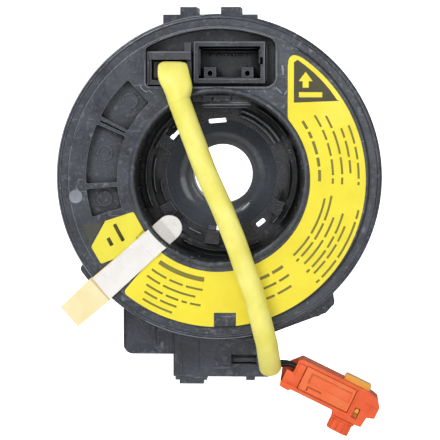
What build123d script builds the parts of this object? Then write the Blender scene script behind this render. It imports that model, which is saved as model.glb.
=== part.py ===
"""Steering clock spring: the rotary cable unit between a steering column and its wheel.

Millimetres. X to the right, Z up, the steering axis along Y. The wheel side faces -Y and
the column side faces +Y. The origin is on the steering axis, in the rear seat of the case.
Angles of features are counted from +X towards +Z, as seen from the wheel side.
"""

from build123d import *
import os
from math import cos, degrees, hypot, pi, radians, sin, tan

# ---------------------------------------------------------------- driving dimensions
# Fits
face_gap = 0.35  # axial play between turning and fixed pieces
side_gap = 0.5  # radial play between turning and fixed rims
journal_gap = 0.08  # radial running clearance of the hub in the case
seat_gap = 0.15  # play of a part that is clipped into another
film_gap = 0.3  # air under the loose lock strip

# Rotor disc
disc_radius = 53.0
disc_front = -34.0  # Y of the flat front face
disc_wall = 2.2
band_width = 4.1  # sunk band between the face and the rim's lip
band_drop = 0.7
lip_set = 0.2  # of the rim's lip behind the face
rim_round = 1.3
skirt_depth = 6.8
skirt_wall = 1.6
recess_step = 2.6  # from the journal out to the deep round recess
drum_wall = 1.9
bead_width = 2.2
bead_rise = 1.0
ledge_step = 1.0  # from the journal in to the ring that the hub seats on
ledge_front = -14.0
ledge_wall = 2.0

# Trays in the disc, left of the recess
tray_inner = 33.1
tray_outer = 43.2
tray_depth = 3.0
tray_wall = 1.4
tray_spans = ((133.0, 152.6), (156.4, 182.8), (185.2, 197.5))  # degrees, between ribs
pin_mark_radius = 2.6
pin_mark_angles = (139.4, 168.2, 190.8)
pin_mark_rise = 0.4

# Connector block and its window in the disc
window_margin = 1.6  # round the outer corner of the switch socket
border_width = 0.8  # of the raised line round the window
border_rise = 0.35
window_left = -23.6
window_right = 18.4
window_foot = 2.4  # from the recess out to the lower edge
window_round = 3.2
window_round_left = 1.5
block_front = -34.3  # Y of the socket rims
block_floor = -30.6  # Y of the panel round the sockets
block_wall = 1.5
socket_floor = -20.5
switch_x = (-8.0, 15.1)  # outside of the switch socket
switch_foot = 3.5  # from the recess out to the socket
switch_set = 9.0  # of its top from the disc's edge
lead_x = (-23.2, -8.8)  # outside of the lead socket
lead_foot = 3.0
lead_set = 12.2
post_x = (-2.8, 9.3)
post_side = 3.9
post_bore = 1.7
post_front = -33.0
contact_side = 0.64
switch_contacts = 6
contact_length = 3.0

# Recess ledges under the connector block
apron_x = (-8.5, 11.5)
apron_reach = 2.5  # into the recess
apron_y = (-31.0, -26.0)
apron_pads = ((-5.2, -2.5), (-1.9, 3.7), (4.3, 9.4))
apron_pad_rise = 0.5
apron_step_x = (-5.5, 9.5)
apron_step_reach = 4.5
apron_step_y = (-27.0, -22.0)

# Hub
shaft_bore = 10.0
hub_wall = 1.6
bowl_step = 6.0  # from the journal in to the bowl
bowl_throat = -5.0  # Y where the bowl meets the bore
hub_plate = 2.0
hub_rear = 3.0
hub_tube_wall = 2.2
lip_width = 1.6
lip_wall = 1.25
slots = (  # angle, length and step from the journal in to the middle
    (95.0, 6.0, 6.4),
    (139.0, 4.6, 3.85),
    (-51.0, 3.4, 3.85),
    (-95.0, 5.0, 6.4),
)
slot_step = 3.1  # from the journal in to the outer edge of the outer slots
slot_width = 1.5
rib_steps = (4.1, 2.6)  # from the journal in
rib_wall = 0.7
rib_span = (30.0, 73.0)
rib_rise = 5.0
hook_angles = (150.0, 213.0, 262.0, 330.0)
hook_rise = 4.2
hook_width = 5.0

# Signal cancelling cam
cam_wall = 3.6
cam_front = -2.0
cam_rear = 6.0
dog_reach = 2.8
dog_span = 40.0

# Case
case_wall = 1.8
case_back = 2.0  # wall at the column side
journal_radius = 24.5  # bore of the case that the hub turns in
pilot_step = 5.5  # from the journal out to the pilot
pilot_wall = 2.5
pilot_height = 4.0
cable_plate_y = (-17.6, -16.0)
slip_sheet = 0.35
top_lug_x = (-19.6, 11.8)
top_lug_rise = 1.4  # over the case
top_tab_x = ((-13.9, -8.4), (-0.3, 6.2))
top_tab_rise = 2.5  # over the lug
lug_y = (-13.0, -7.0)
ear_angles = (-52.5, 217.5)
flange_sets = (  # corners beside the right ear, from the case's right and lower edges
    (22.0, 22.0),
    (14.6, 13.0),
    (14.4, 8.8),
    (17.0, 5.8),
    (36.0, -1.4),
    (36.0, 6.0),
)
flange_round = 1.2
ear_length = 5.4  # out from the case
ear_width = 9.0
claw_height = 5.0

# Connector bracket of the case
bracket_y = (-20.0, 3.0)
bracket_left = -15.9
bracket_right = 16.2
bracket_drop = 15.0  # below the case
bracket_wall = 1.8
shoulder_left = -32.6
shoulder_drop = 7.7  # below the case
shoulder_rise = 11.0  # above the case's lower edge, where its side meets it
shoulder_box_rise = 6.0  # inside
shoulder_round = 3.2
cover_wall = 1.6
cover_drop = 2.6  # below the case
cover_slot_x = (3.8, 11.8)
cover_slot_foot = 4.6  # above the bracket's lower edge
cover_slot_height = 2.5
foot_tab_x = (-13.8, -5.7)
foot_tab_drop = 2.5  # below the bracket
foot_step_x = (-15.2, -4.6)
foot_step_drop = 1.2
small_tab_x = (8.4, 11.3)
small_tab_drop = 1.2
header_y = (-10.0, -7.5)
header_split = 3.4  # X between the two rear connectors
pin_length = 5.0
harness_pin_counts = (6, 2)
airbag_pin_counts = (3, 1)
pin_pitch = 2.2

# Flat cable and its lead blocks
cable_y = (-14.6, -4.0)
cable_clear = 2.6  # between the drum and the innermost turn
cable_margin = 3.6  # between the case wall and the outermost turn
cable_turns = 5
cable_film = 0.3
lead_block_span = 13.0  # degrees
lead_block_clear = 1.2

# Labels
label_film = 0.15
label_inset_inner = 0.8  # from the bead
label_inset_outer = 0.4  # from the band
code_label_inset = 0.2  # from the bead
label_edge_x = 22.4
label_end_angle = -128.0
label_notch_x = (-1.5, 5.7)
label_notch_depth = 4.4
code_label_corners = (
    (-36.9, -14.2),
    (-27.7, -11.2),
    (-24.0, -17.9),
    (-28.6, -24.6),
    (-38.4, -28.3),
    (-41.6, -22.7),
)

# Lock strip: a film threaded through the disc into the recess
strip_angle = 221.7
strip_offset = 1.6  # of its centre line from the steering axis
strip_film = 0.3
strip_width_in = 8.3
strip_width_out = 9.6
strip_tab_width = 8.6
strip_tab_reach = 13.8
strip_slot = (29.7, 31.9)  # radial places of the slot in the disc
strip_tongue = 19.5  # how near its round end comes to the axis
strip_tongue_y = -26.5
strip_window_y = (-32.4, -25.4)

# Lead plug and its sleeve
sleeve_diameter = 7.3
wire_diameter = 1.4
retainer_x = (-22.3, -8.9)
retainer_height = 2.6
retainer_set = 9.4  # of its post's top from the disc's edge
retainer_post = 2.0
retainer_y = (-35.8, -34.3)
lead_plug_front = -33.0
lead_plug_depth = 10.0
lead_plug_chamfer = 0.5
sleeve_route = [  # centre line of the sleeve, from its flare to its open end
    (-12.3, -39.5, 24.8),
    (-7.6, -40.5, 11.9),
    (-2.4, -41.3, -1.0),
    (3.6, -41.7, -14.2),
    (8.2, -41.7, -26.8),
    (11.8, -41.5, -37.6),
    (14.0, -40.9, -45.0),
    (15.5, -39.1, -51.8),
    (16.4, -35.4, -57.8),
    (16.8, -30.3, -62.3),
]
sleeve_bore = 5.6
sleeve_bore_depth = 5.8
flare_sections = [  # X, Y, Z, downward pitch in degrees, width and thickness
    (-16.0, -33.05, 34.9, 0.0, 10.4, 5.6),
    (-15.8, -36.4, 34.6, 22.0, 11.2, 5.4),
    (-15.1, -38.9, 32.2, 58.0, 11.2, 4.6),
    (-13.7, -39.5, 28.6, 76.0, 8.9, 5.8),
]
wire_routes = {  # centre lines of the two wires, from the sleeve to the squib plug
    "lead_wire_a": [
        (16.3, -33.2, -58.0),
        (16.6, -29.4, -61.2),
        (18.0, -25.8, -61.6),
        (21.4, -24.4, -61.0),
        (25.4, -24.8, -62.5),
        (29.6, -25.6, -65.2),
        (34.0, -25.9, -66.9),
        (37.6, -25.9, -68.9),
    ],
    "lead_wire_b": [
        (17.9, -33.6, -58.3),
        (18.2, -29.8, -61.6),
        (19.7, -26.9, -62.2),
        (22.9, -26.0, -61.7),
        (26.2, -26.5, -63.0),
        (30.2, -27.3, -65.7),
        (34.4, -27.7, -67.5),
        (37.9, -27.7, -69.4),
    ],
}

# Squib plug at the end of the lead, drawn in its own plane
plug_corner = (27.5, -59.4)  # X, Z of its upper left corner
plug_tilt = -26.0  # degrees
plug_y = (-33.2, -21.6)
plug_height = 10.6
plug_length = 29.4
plug_wall = 1.3
plug_round = 0.6
throat_reach = 14.5  # how far the wires pass into it
cover_inset = 1.1  # of the plug's front cover from the outline
cover_plate = 1.6
cover_u = (2.4, 20.6)
plug_nose_u = (16.8, 24.2)
plug_nose_drop = 6.0
plug_nose_y = 9.4
contact_pitch = 3.6
contact_radius = 1.1
lock_u = (15.0, 24.2)
lock_travel = 1.8
lock_rise = 1.9
lock_depth = 1.0
lock_width = 5.0
lock_leg_u = (22.4, 24.0)
lock_leg_v = -10.0

# ---------------------------------------------------------------- derived values
recess_radius = journal_radius + recess_step
ledge_radius = journal_radius - ledge_step
pilot_radius = journal_radius + pilot_step
drum_radius = recess_radius + drum_wall
band_radius = disc_radius - band_width
bead_radius = recess_radius + bead_width
disc_back = disc_front + disc_wall
skirt_back = disc_front + skirt_depth
skirt_inner = disc_radius - skirt_wall
case_radius = disc_radius - 1.0
case_inner = case_radius - case_wall
ear_reach = case_radius + ear_length
top_lug_z = case_radius + top_lug_rise
top_tab_z = top_lug_z + top_tab_rise
bracket_bottom = -case_radius - bracket_drop
shoulder_bottom = -case_radius - shoulder_drop
shoulder_top = -case_radius + shoulder_rise
shoulder_box_top = -case_radius + shoulder_box_rise
cover_top = -case_radius - cover_drop
cover_slot_bottom = bracket_bottom + cover_slot_foot
cover_slot_z = (cover_slot_bottom, cover_slot_bottom + cover_slot_height)
foot_tab_z = bracket_bottom - foot_tab_drop
foot_step_z = bracket_bottom - foot_step_drop
small_tab_z = bracket_bottom - small_tab_drop
window_bottom = recess_radius + window_foot
switch_z = (recess_radius + switch_foot, disc_radius - switch_set)
lead_z = (recess_radius + lead_foot, disc_radius - lead_set)
retainer_z = (lead_z[1] - retainer_height, lead_z[1])
retainer_top = disc_radius - retainer_set
apron_z = recess_radius - apron_reach
apron_step_z = recess_radius - apron_step_reach
bowl_radius = journal_radius - bowl_step
slot_outer = journal_radius - slot_step
window_radius = hypot(switch_x[1], switch_z[1]) + window_margin
label_inner = bead_radius + label_inset_inner
label_outer = band_radius - label_inset_outer
cable_inner = drum_radius + cable_clear
cable_pitch = (case_inner - cable_margin - cable_inner) / cable_turns
case_front = skirt_back + 2 * face_gap
collar_radius = case_inner - side_gap
collar_inner = collar_radius - skirt_wall
drum_rear = -case_back - face_gap
hub_radius = journal_radius - journal_gap
hub_front = ledge_front + ledge_wall
hub_inner = hub_radius - hub_tube_wall
lip_radius = hub_radius + lip_width
label_face = disc_front - label_film
strip_face = label_face - film_gap


def facing(y):
    """The plane at depth y that faces the wheel side, with X to the right and Z up."""
    return Plane.XZ.offset(-y)


def polar(radius, angle):
    """The X and Z of a point at a radius and an angle in degrees."""
    return (radius * cos(radians(angle)), radius * sin(radians(angle)))


def block(x, y, z, mode=Mode.ADD):
    """A box between two values of each of X, Y and Z, in the part that is being built."""
    with BuildSketch(facing(y[1])) as profile:
        with Locations(((x[0] + x[1]) / 2, (z[0] + z[1]) / 2)):
            Rectangle(x[1] - x[0], z[1] - z[0])
    extrude(profile.sketch, amount=y[1] - y[0], mode=mode)


def sector(inner, outer, start, end):
    """A flat ring sector in the sketch that is being built."""
    with BuildLine() as outline:
        CenterArc((0, 0), outer, start, end - start)
        CenterArc((0, 0), inner, start, end - start)
        Line(polar(inner, start), polar(outer, start))
        Line(polar(inner, end), polar(outer, end))
    make_face(outline.edges())


def ring(inner, outer, y):
    """A plain flat ring between two depths, as a finished part."""
    with BuildPart() as plain:
        with BuildSketch(facing(y[1])):
            Circle(outer)
            Circle(inner, mode=Mode.SUBTRACT)
        extrude(amount=y[1] - y[0])
    return plain.part


def window_outline(gap=0.0):
    """The D shape of the connector window, drawn smaller by a gap."""
    r = window_radius - gap
    left, right = window_left + gap, window_right - gap
    bottom = window_bottom + gap
    top_left = (left, (r**2 - left**2) ** 0.5)
    top_right = (right, (r**2 - right**2) ** 0.5)
    with BuildLine() as outline:
        Polyline(top_left, (left, bottom), (right, bottom), top_right)
        ThreePointArc(top_right, (0, r), top_left)
    corners = make_face(outline.edges()).vertices().sort_by(Axis.X)
    left_round, right_round = window_round_left - gap, window_round - gap
    outline_face = fillet(corners[:2], left_round)
    fillet(outline_face.vertices().sort_by(Axis.X)[-2:], right_round)


def over_strip(y):
    """The facing plane at depth y with its x axis out along the lock strip's centre line."""
    along, across = polar(1, strip_angle), polar(strip_offset, strip_angle + 90)
    return Plane(origin=(across[0], y, across[1]), x_dir=(along[0], 0, along[1]), z_dir=(0, -1, 0))


def tube(route, diameter):
    """A round cord swept along straight runs joined by tangent arcs."""
    points = [Vector(*point) for point in route]
    runs = [b - a for a, b in zip(points, points[1:])]
    arcs = [
        0.45 * min(a.length, b.length) / tan(radians(a.get_angle(b)) / 2)
        for a, b in zip(runs, runs[1:])
    ]
    print("  arc radii in diameters", [round(arc / diameter, 1) for arc in arcs])
    with BuildPart() as cord:
        with BuildLine() as path:
            FilletPolyline(*route, radius=arcs)
        with BuildSketch(Plane(origin=points[0], z_dir=runs[0])):
            Circle(diameter / 2)
        sweep(path=path.wire())
    length = path.wire().length
    share = cord.part.volume / (length * pi * diameter**2 / 4)
    print("  length", round(length, 1), "volume over section times length", round(share, 4))
    return cord.part


def save(part, name):
    """Write one finished piece under its own name."""
    part.label = name
    export_step(part, f"parts/{name}.step")


os.makedirs("parts", exist_ok=True)

# ---------------------------------------------------------------- rotor disc
with BuildPart() as rotor_disc:
    with BuildSketch(Plane.XY):
        with BuildLine():
            bead_foot = disc_front - bead_rise * 0.3
            Line((ledge_radius, hub_front), (ledge_radius, ledge_front))
            Line((ledge_radius, ledge_front), (recess_radius, ledge_front))
            Line((recess_radius, ledge_front), (recess_radius, bead_foot))
            ThreePointArc(
                (recess_radius, bead_foot),
                (recess_radius + bead_width / 2, disc_front - bead_rise),
                (bead_radius, bead_foot),
            )
            Polyline(
                (bead_radius, bead_foot),
                (bead_radius, disc_front),
                (band_radius, disc_front),
                (band_radius + band_drop / 3, disc_front + band_drop),
                (disc_radius - rim_round - band_drop / 2, disc_front + band_drop),
                (disc_radius - rim_round, disc_front + lip_set),
            )
            band_edge = disc_front + lip_set
            ThreePointArc(
                (disc_radius - rim_round, band_edge),
                (disc_radius - 0.3 * rim_round, band_edge + 0.3 * rim_round),
                (disc_radius, band_edge + rim_round),
            )
            Polyline(
                (disc_radius, band_edge + rim_round),
                (disc_radius, skirt_back),
                (skirt_inner, skirt_back),
                (skirt_inner, disc_back + band_drop),
                (collar_radius, disc_back + band_drop),
                (collar_radius, case_front + 2 * skirt_wall),
                (collar_inner, case_front + 2 * skirt_wall),
                (collar_inner, disc_back),
                (drum_radius, disc_back),
                (drum_radius, drum_rear),
                (recess_radius, drum_rear),
                (recess_radius, hub_front),
                (ledge_radius, hub_front),
            )
        make_face()
    revolve(axis=Axis.Y)
    # trays left of the recess, with floors behind the disc's wall
    tray_floor = disc_front + tray_depth
    with BuildSketch(facing(tray_floor + tray_wall)):
        rib_angle = degrees(tray_wall / tray_outer)
        sector(
            tray_inner - tray_wall,
            tray_outer + tray_wall,
            tray_spans[0][0] - rib_angle,
            tray_spans[-1][1] + rib_angle,
        )
    extrude(amount=tray_depth + tray_wall - disc_wall / 2)
    for span_start, span_end in tray_spans:
        with BuildSketch(facing(tray_floor)) as tray:
            sector(tray_inner, tray_outer, span_start, span_end)
            fillet(tray.vertices(), 0.6)
        extrude(amount=tray_depth + 1, mode=Mode.SUBTRACT)
    # a groove splits the rib between the first two trays
    with BuildSketch(facing(disc_front + tray_depth / 2)):
        middle = (tray_spans[0][1] + tray_spans[1][0]) / 2
        sector(tray_inner + 0.6, tray_outer - 0.6, middle - 0.45, middle + 0.45)
    extrude(amount=tray_depth, mode=Mode.SUBTRACT)
    with BuildSketch(facing(tray_floor)):
        for angle in pin_mark_angles:
            with Locations(polar((tray_inner + tray_outer) / 2, angle)):
                Circle(pin_mark_radius)
                Circle(pin_mark_radius - 0.5, mode=Mode.SUBTRACT)
    extrude(amount=pin_mark_rise)
    # window for the connector block
    with BuildSketch(facing(disc_back + tray_depth)):
        window_outline()
    extrude(amount=disc_wall + tray_depth + bead_rise + 1, mode=Mode.SUBTRACT)
    with BuildSketch(facing(disc_front + disc_wall / 2)):
        window_outline(-border_width)
        with BuildSketch(mode=Mode.PRIVATE) as opening:
            window_outline()
        add(opening.sketch, mode=Mode.SUBTRACT)
    extrude(amount=disc_wall / 2 + border_rise)
    # stepped apron under the connector block, inside the recess
    for x, z, y in (
        (apron_x, apron_z, apron_y),
        (apron_step_x, apron_step_z, apron_step_y),
    ):
        with BuildSketch(facing(y[1])):
            Circle(recess_radius + drum_wall / 2)
            with Locations(((x[0] + x[1]) / 2, z)):
                Rectangle(
                    x[1] - x[0],
                    recess_radius,
                    align=(Align.CENTER, Align.MIN),
                    mode=Mode.INTERSECT,
                )
        extrude(amount=y[1] - y[0])
    for pad_x in apron_pads:
        block(pad_x, (apron_y[0] - apron_pad_rise, apron_y[1]), (apron_z + 0.3, apron_z + 2.0))
    # slot in the disc and window in the drum for the lock strip
    strip_clear = strip_width_in + 4 * seat_gap
    with BuildSketch(over_strip(disc_back + 1)):
        with Locations((sum(strip_slot) / 2, 0)):
            Rectangle(strip_slot[1] - strip_slot[0], strip_clear)
    extrude(amount=disc_wall + 3, mode=Mode.SUBTRACT)
    with BuildSketch(over_strip(strip_window_y[1])):
        with Locations((recess_radius, 0)):
            Rectangle(3 * drum_wall, strip_clear)
    extrude(amount=strip_window_y[1] - strip_window_y[0], mode=Mode.SUBTRACT)

save(rotor_disc.part, "rotor_disc")

# ---------------------------------------------------------------- connector block
pocket_floor = socket_floor - block_wall
with BuildPart() as connector_block:
    with BuildSketch(facing(block_floor + block_wall)):
        window_outline(seat_gap)
    extrude(amount=block_wall)
    block(lead_x, (block_front, socket_floor), lead_z)
    block(switch_x, (block_front, socket_floor), switch_z)
    for x, z in ((switch_x, switch_z), (lead_x, lead_z)):
        inner_x = (x[0] + block_wall, x[1] - block_wall)
        inner_z = (z[0] + block_wall, z[1] - block_wall)
        block(inner_x, (block_front - 1, pocket_floor), inner_z, Mode.SUBTRACT)
    # hollow posts at the foot of the switch socket
    post_z = switch_z[0] + block_wall - 0.3
    for x in post_x:
        half = post_side / 2
        block((x - half, x + half), (post_front, socket_floor), (post_z, post_z + post_side))
    with BuildSketch(facing(pocket_floor)):
        with Locations(*[(x, post_z + post_side / 2) for x in post_x]):
            Circle(post_bore / 2)
    extrude(amount=pocket_floor - post_front, mode=Mode.SUBTRACT)
    # keyway in the right wall of the switch socket
    key_z = switch_z[0] + (switch_z[1] - switch_z[0]) * 0.45
    key_x = (switch_x[1] - block_wall - 0.1, switch_x[1] - block_wall / 2)
    block(key_x, (block_front - 1, block_front + 6), (key_z, key_z + 2.4), Mode.SUBTRACT)
save(connector_block.part, "connector_block")

contact_z = switch_z[1] - block_wall - 2.6
contact_step = (post_x[1] - post_x[0]) / (switch_contacts - 1)
with BuildPart() as switch_pins:
    with BuildSketch(facing(pocket_floor)):
        with Locations((sum(post_x) / 2, contact_z)):
            with GridLocations(contact_step, 1, switch_contacts, 1):
                Rectangle(contact_side, contact_side)
    extrude(amount=contact_length)
save(switch_pins.part, "switch_pins")

# ---------------------------------------------------------------- hub
with BuildPart() as rotor_hub:
    with BuildSketch(Plane.XY):
        plate_back = hub_front + hub_plate
        tube_radius = shaft_bore + hub_wall
        with BuildLine():
            Polyline(
                (bowl_radius, hub_front),
                (hub_radius, hub_front),
                (hub_radius, face_gap),
                (lip_radius, face_gap),
                (lip_radius, face_gap + lip_wall),
                (hub_inner, face_gap + lip_wall),
                (hub_inner, plate_back),
                (bowl_radius + hub_wall / 2, plate_back),
            )
            bowl_lip = (bowl_radius, hub_front)
            throat = (shaft_bore, bowl_throat)
            bowl_back = (bowl_radius + hub_wall / 2, plate_back)
            throat_back = (tube_radius, bowl_throat + hub_wall)
            Bezier(bowl_lip, (bowl_radius - 2, bowl_throat), throat)
            Bezier(bowl_back, (bowl_radius - 1, throat_back[1]), throat_back)
            Polyline(throat, (shaft_bore, hub_rear), (tube_radius, hub_rear), throat_back)
        make_face()
    revolve(axis=Axis.Y)
    with BuildSketch(facing(plate_back + 5)):
        for angle, length, step in slots:
            with Locations(Location(polar(journal_radius - step, angle), angle)):
                RectangleRounded(slot_width, length, slot_width / 3)
    extrude(amount=hub_plate + 6, mode=Mode.SUBTRACT)
    # two arc ribs side by side, and clip hooks round the plate
    with BuildSketch(facing(hub_front)):
        for radius in [journal_radius - step for step in rib_steps]:
            sector(radius, radius + rib_wall, *rib_span)
    extrude(amount=rib_rise)
    with BuildSketch(facing(hub_front)) as hooks:
        for angle in hook_angles:
            span = degrees(hook_width / ledge_radius) / 2
            sector(slot_outer + 0.2, ledge_radius - 2 * seat_gap, angle - span, angle + span)
    extrude(amount=hook_rise)
    with BuildSketch(facing(hub_front - hook_rise + 1.2)):
        for angle in hook_angles:
            span = degrees(hook_width / ledge_radius) / 2
            sector(bowl_radius + 0.4, slot_outer + 0.4, angle - span, angle + span)
    extrude(amount=1.2)
save(rotor_hub.part, "rotor_hub")

# ---------------------------------------------------------------- signal cancelling cam
cam_inner = shaft_bore + hub_wall + seat_gap / 3
cam_outer = cam_inner + cam_wall
with BuildPart() as cancel_cam:
    with BuildSketch(facing(cam_rear)):
        Circle(cam_outer)
        Circle(cam_inner, mode=Mode.SUBTRACT)
    extrude(amount=cam_rear - cam_front)
    with BuildSketch(facing(cam_rear)):
        for angle in (0, 180):
            sector(cam_outer - 0.6, cam_outer + dog_reach, angle - dog_span / 2, angle + dog_span / 2)
    extrude(amount=(cam_rear - cam_front) * 0.6)
save(cancel_cam.part, "cancel_cam")

# ---------------------------------------------------------------- cable chamber
save(ring(drum_radius + seat_gap, collar_radius, cable_plate_y), "cable_plate")
front_sheet_y = (cable_plate_y[1], cable_plate_y[1] + slip_sheet)
save(ring(drum_radius + 2 * side_gap, collar_radius, front_sheet_y), "front_slip_sheet")
rear_sheet_y = (-case_back - slip_sheet, -case_back)
save(ring(drum_radius + 2 * side_gap, case_inner - seat_gap, rear_sheet_y), "rear_slip_sheet")

coil_plane = Plane(origin=(0, cable_y[1], 0), x_dir=(0, 0, -1), z_dir=(0, -1, 0))
coil_width = cable_y[1] - cable_y[0]
with BuildPart() as flat_cable:
    with BuildSketch(coil_plane):
        with BuildLine():
            for film in (0.0, cable_film):
                for turn in range(2 * cable_turns):
                    centre = (0, 0) if turn % 2 == 0 else (cable_pitch / 2, 0)
                    radius = cable_inner + film + turn * cable_pitch / 2
                    CenterArc(centre, radius, 180 * (turn % 2), 180)
            for radius in (cable_inner, cable_inner + cable_turns * cable_pitch):
                Line((radius, 0), (radius + cable_film, 0))
        make_face()
    extrude(amount=coil_width)
save(flat_cable.part, "flat_cable")

# the cable's inner end stands clear of this block, which turns with the rotor
with BuildPart() as inner_lead_block:
    with BuildSketch(coil_plane):
        inner_seat = drum_radius + seat_gap
        sector(inner_seat, cable_inner + cable_film, -lead_block_span, -lead_block_clear)
    extrude(amount=coil_width)
save(inner_lead_block.part, "inner_lead_block")

outer_seat = case_inner - seat_gap
cable_outer = cable_inner + cable_turns * cable_pitch
with BuildPart() as outer_lead_block:
    with BuildSketch(coil_plane):
        sector(cable_outer, outer_seat, 0, lead_block_span)
    extrude(amount=coil_width)
save(outer_lead_block.part, "outer_lead_block")

# ---------------------------------------------------------------- case
cover_y = (bracket_y[0], bracket_y[0] + cover_wall)
tunnel_left = (bracket_left + bracket_wall, header_split - bracket_wall / 2)
tunnel_right = (header_split + bracket_wall / 2, bracket_right - bracket_wall)
tunnel_z = (bracket_bottom + bracket_wall, cover_top - bracket_wall)
bracket_neck = -(case_radius - case_wall)

with BuildPart() as stator_case:
    with BuildSketch(Plane.XY):
        with BuildLine():
            Polyline(
                (journal_radius, -case_back),
                (case_inner, -case_back),
                (case_inner, case_front),
                (case_radius, case_front),
                (case_radius, 0),
                (pilot_radius, 0),
                (pilot_radius, pilot_height),
                (pilot_radius - pilot_wall, pilot_height),
                (pilot_radius - pilot_wall, 0),
                (journal_radius, 0),
                (journal_radius, -case_back),
            )
        make_face()
    revolve(axis=Axis.Y)
    # connector bracket below the case
    with BuildSketch(facing(bracket_y[1])):
        with BuildLine():
            Polyline(
                (shoulder_left, shoulder_top),
                (shoulder_left, shoulder_bottom),
                (bracket_left, shoulder_bottom),
                (bracket_left, bracket_bottom),
                (bracket_right, bracket_bottom),
                (bracket_right, bracket_neck + 2),
                (shoulder_left, shoulder_top),
            )
        outline = make_face()
        corner = outline.vertices().sort_by(Axis.X)[:2].sort_by(Axis.Y)[0]
        fillet(corner, shoulder_round)
    extrude(amount=bracket_y[1] - cover_y[1])
    # the shoulder is an open box towards the column
    box_left, box_bottom = shoulder_left + bracket_wall, shoulder_bottom + bracket_wall
    with BuildSketch(facing(bracket_y[1] + 1)):
        with Locations((box_left, box_bottom)):
            Rectangle(
                bracket_left - box_left,
                shoulder_box_top - box_bottom,
                align=(Align.MIN, Align.MIN),
            )
        Circle(case_radius, mode=Mode.SUBTRACT)
    extrude(amount=bracket_y[1] + 1 - cover_y[1] - bracket_wall, mode=Mode.SUBTRACT)
    # flange between the right ear and the bracket
    with BuildSketch(facing(lug_y[1])) as flange:
        with BuildLine():
            corners = [(case_radius - x, z - case_radius) for x, z in flange_sets]
            Polyline(*corners, close=True)
        make_face()
        fillet(flange.vertices().sort_by(Axis.X)[-3:], flange_round)
        Circle(case_inner + case_wall / 2, mode=Mode.SUBTRACT)
    extrude(amount=lug_y[1] - lug_y[0])
    for tunnel_x in (tunnel_left, tunnel_right):
        block(tunnel_x, (cover_y[1] - 1, bracket_y[1] + 1), tunnel_z, Mode.SUBTRACT)
    # lugs at the top
    block(top_lug_x, lug_y, (case_inner - 6, top_lug_z))
    for tab_x in top_tab_x:
        block(tab_x, lug_y, (top_lug_z - 1, top_tab_z))
        block(tab_x, (lug_y[1], claw_height), (top_tab_z - 1.8, top_tab_z))
        block(tab_x, (claw_height - 1.6, claw_height), (top_tab_z - 3.0, top_tab_z))
    # ears with claws at the lower sides
    for angle in ear_angles:
        with BuildSketch(facing(lug_y[1])):
            with Locations(Location(polar((case_radius + ear_reach) / 2 - 1, angle), angle)):
                RectangleRounded(ear_reach - case_radius + 2, ear_width, 1.8)
        extrude(amount=lug_y[1] - lug_y[0])
        with BuildSketch(facing(claw_height)):
            with Locations(Location(polar(ear_reach - 0.9, angle), angle)):
                Rectangle(1.8, ear_width - 4)
        extrude(amount=claw_height - lug_y[0] - 1)
        with BuildSketch(facing(claw_height)):
            with Locations(Location(polar(ear_reach - 1.5, angle), angle)):
                Rectangle(3.0, ear_width - 4)
        extrude(amount=1.6)
    # the drum inside stays open
    with BuildSketch(facing(-case_back)):
        Circle(case_inner)
    extrude(amount=-case_back - case_front + 1, mode=Mode.SUBTRACT)
    # the lead block passes through the wall to the bracket
    block(
        (1, outer_seat * sin(radians(lead_block_span)) - 1),
        (cable_y[0] + 1, cable_y[1]),
        (tunnel_z[1] - 1, bracket_neck + 1),
        Mode.SUBTRACT,
    )
save(stator_case.part, "stator_case")


with BuildPart() as bracket_cover:
    with BuildSketch(facing(cover_y[1])):
        with Locations(((bracket_left + bracket_right) / 2, bracket_bottom)):
            Rectangle(
                bracket_right - bracket_left,
                bracket_neck - bracket_bottom,
                align=(Align.CENTER, Align.MIN),
            )
        Circle(-cover_top, mode=Mode.SUBTRACT)
    extrude(amount=cover_wall)
    face = bracket_cover.faces().sort_by(Axis.Y)[0]
    chamfer(face.edges().filter_by(Axis.Z), cover_wall / 2)
    # slot with a rib in its floor, and the snap tabs under the case
    block(cover_slot_x, (cover_y[0] - 1, cover_y[1] - 0.4), cover_slot_z, Mode.SUBTRACT)
    slot_third = (cover_slot_z[1] - cover_slot_z[0]) / 3
    rib_z = (cover_slot_z[0] + slot_third, cover_slot_z[1] - slot_third / 2)
    block((cover_slot_x[0] + 0.4, cover_slot_x[1]), (cover_y[0] + 0.5, cover_y[1]), rib_z)
    for tab_x, tab_z in (
        (foot_tab_x, foot_tab_z),
        (foot_step_x, foot_step_z),
        (small_tab_x, small_tab_z),
    ):
        block(tab_x, (cover_y[0] + 0.4, cover_y[1]), (tab_z, bracket_bottom + 1))
        block(tab_x, (cover_y[0] + 0.4, cover_y[1] + 4), (tab_z, bracket_bottom - 0.1))
save(bracket_cover.part, "bracket_cover")

for name, tunnel_x, grid in (
    ("harness", tunnel_left, harness_pin_counts),
    ("airbag", tunnel_right, airbag_pin_counts),
):
    centre = (sum(tunnel_x) / 2, sum(tunnel_z) / 2)
    width = tunnel_x[1] - tunnel_x[0] - 2 * seat_gap
    height = tunnel_z[1] - tunnel_z[0] - 2 * seat_gap
    with BuildPart() as header:
        with BuildSketch(facing(header_y[1])):
            with Locations(centre):
                Rectangle(width, height)
        extrude(amount=header_y[1] - header_y[0])
        # polarising rib along one side
        with BuildSketch(facing(header_y[1] + pin_length)):
            with Locations((centre[0], centre[1] + height / 2)):
                Rectangle(pin_pitch, 1.2, align=(Align.CENTER, Align.MAX))
        extrude(amount=header_y[1] + pin_length - header_y[0])
    save(header.part, f"{name}_header")
    with BuildPart() as pins:
        with BuildSketch(facing(header_y[1] + pin_length)):
            with Locations((centre[0], centre[1] - pin_pitch / 3)):
                with GridLocations(pin_pitch, pin_pitch, *grid):
                    Rectangle(contact_side, contact_side)
        extrude(amount=pin_length)
    save(pins.part, f"{name}_pins")

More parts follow.
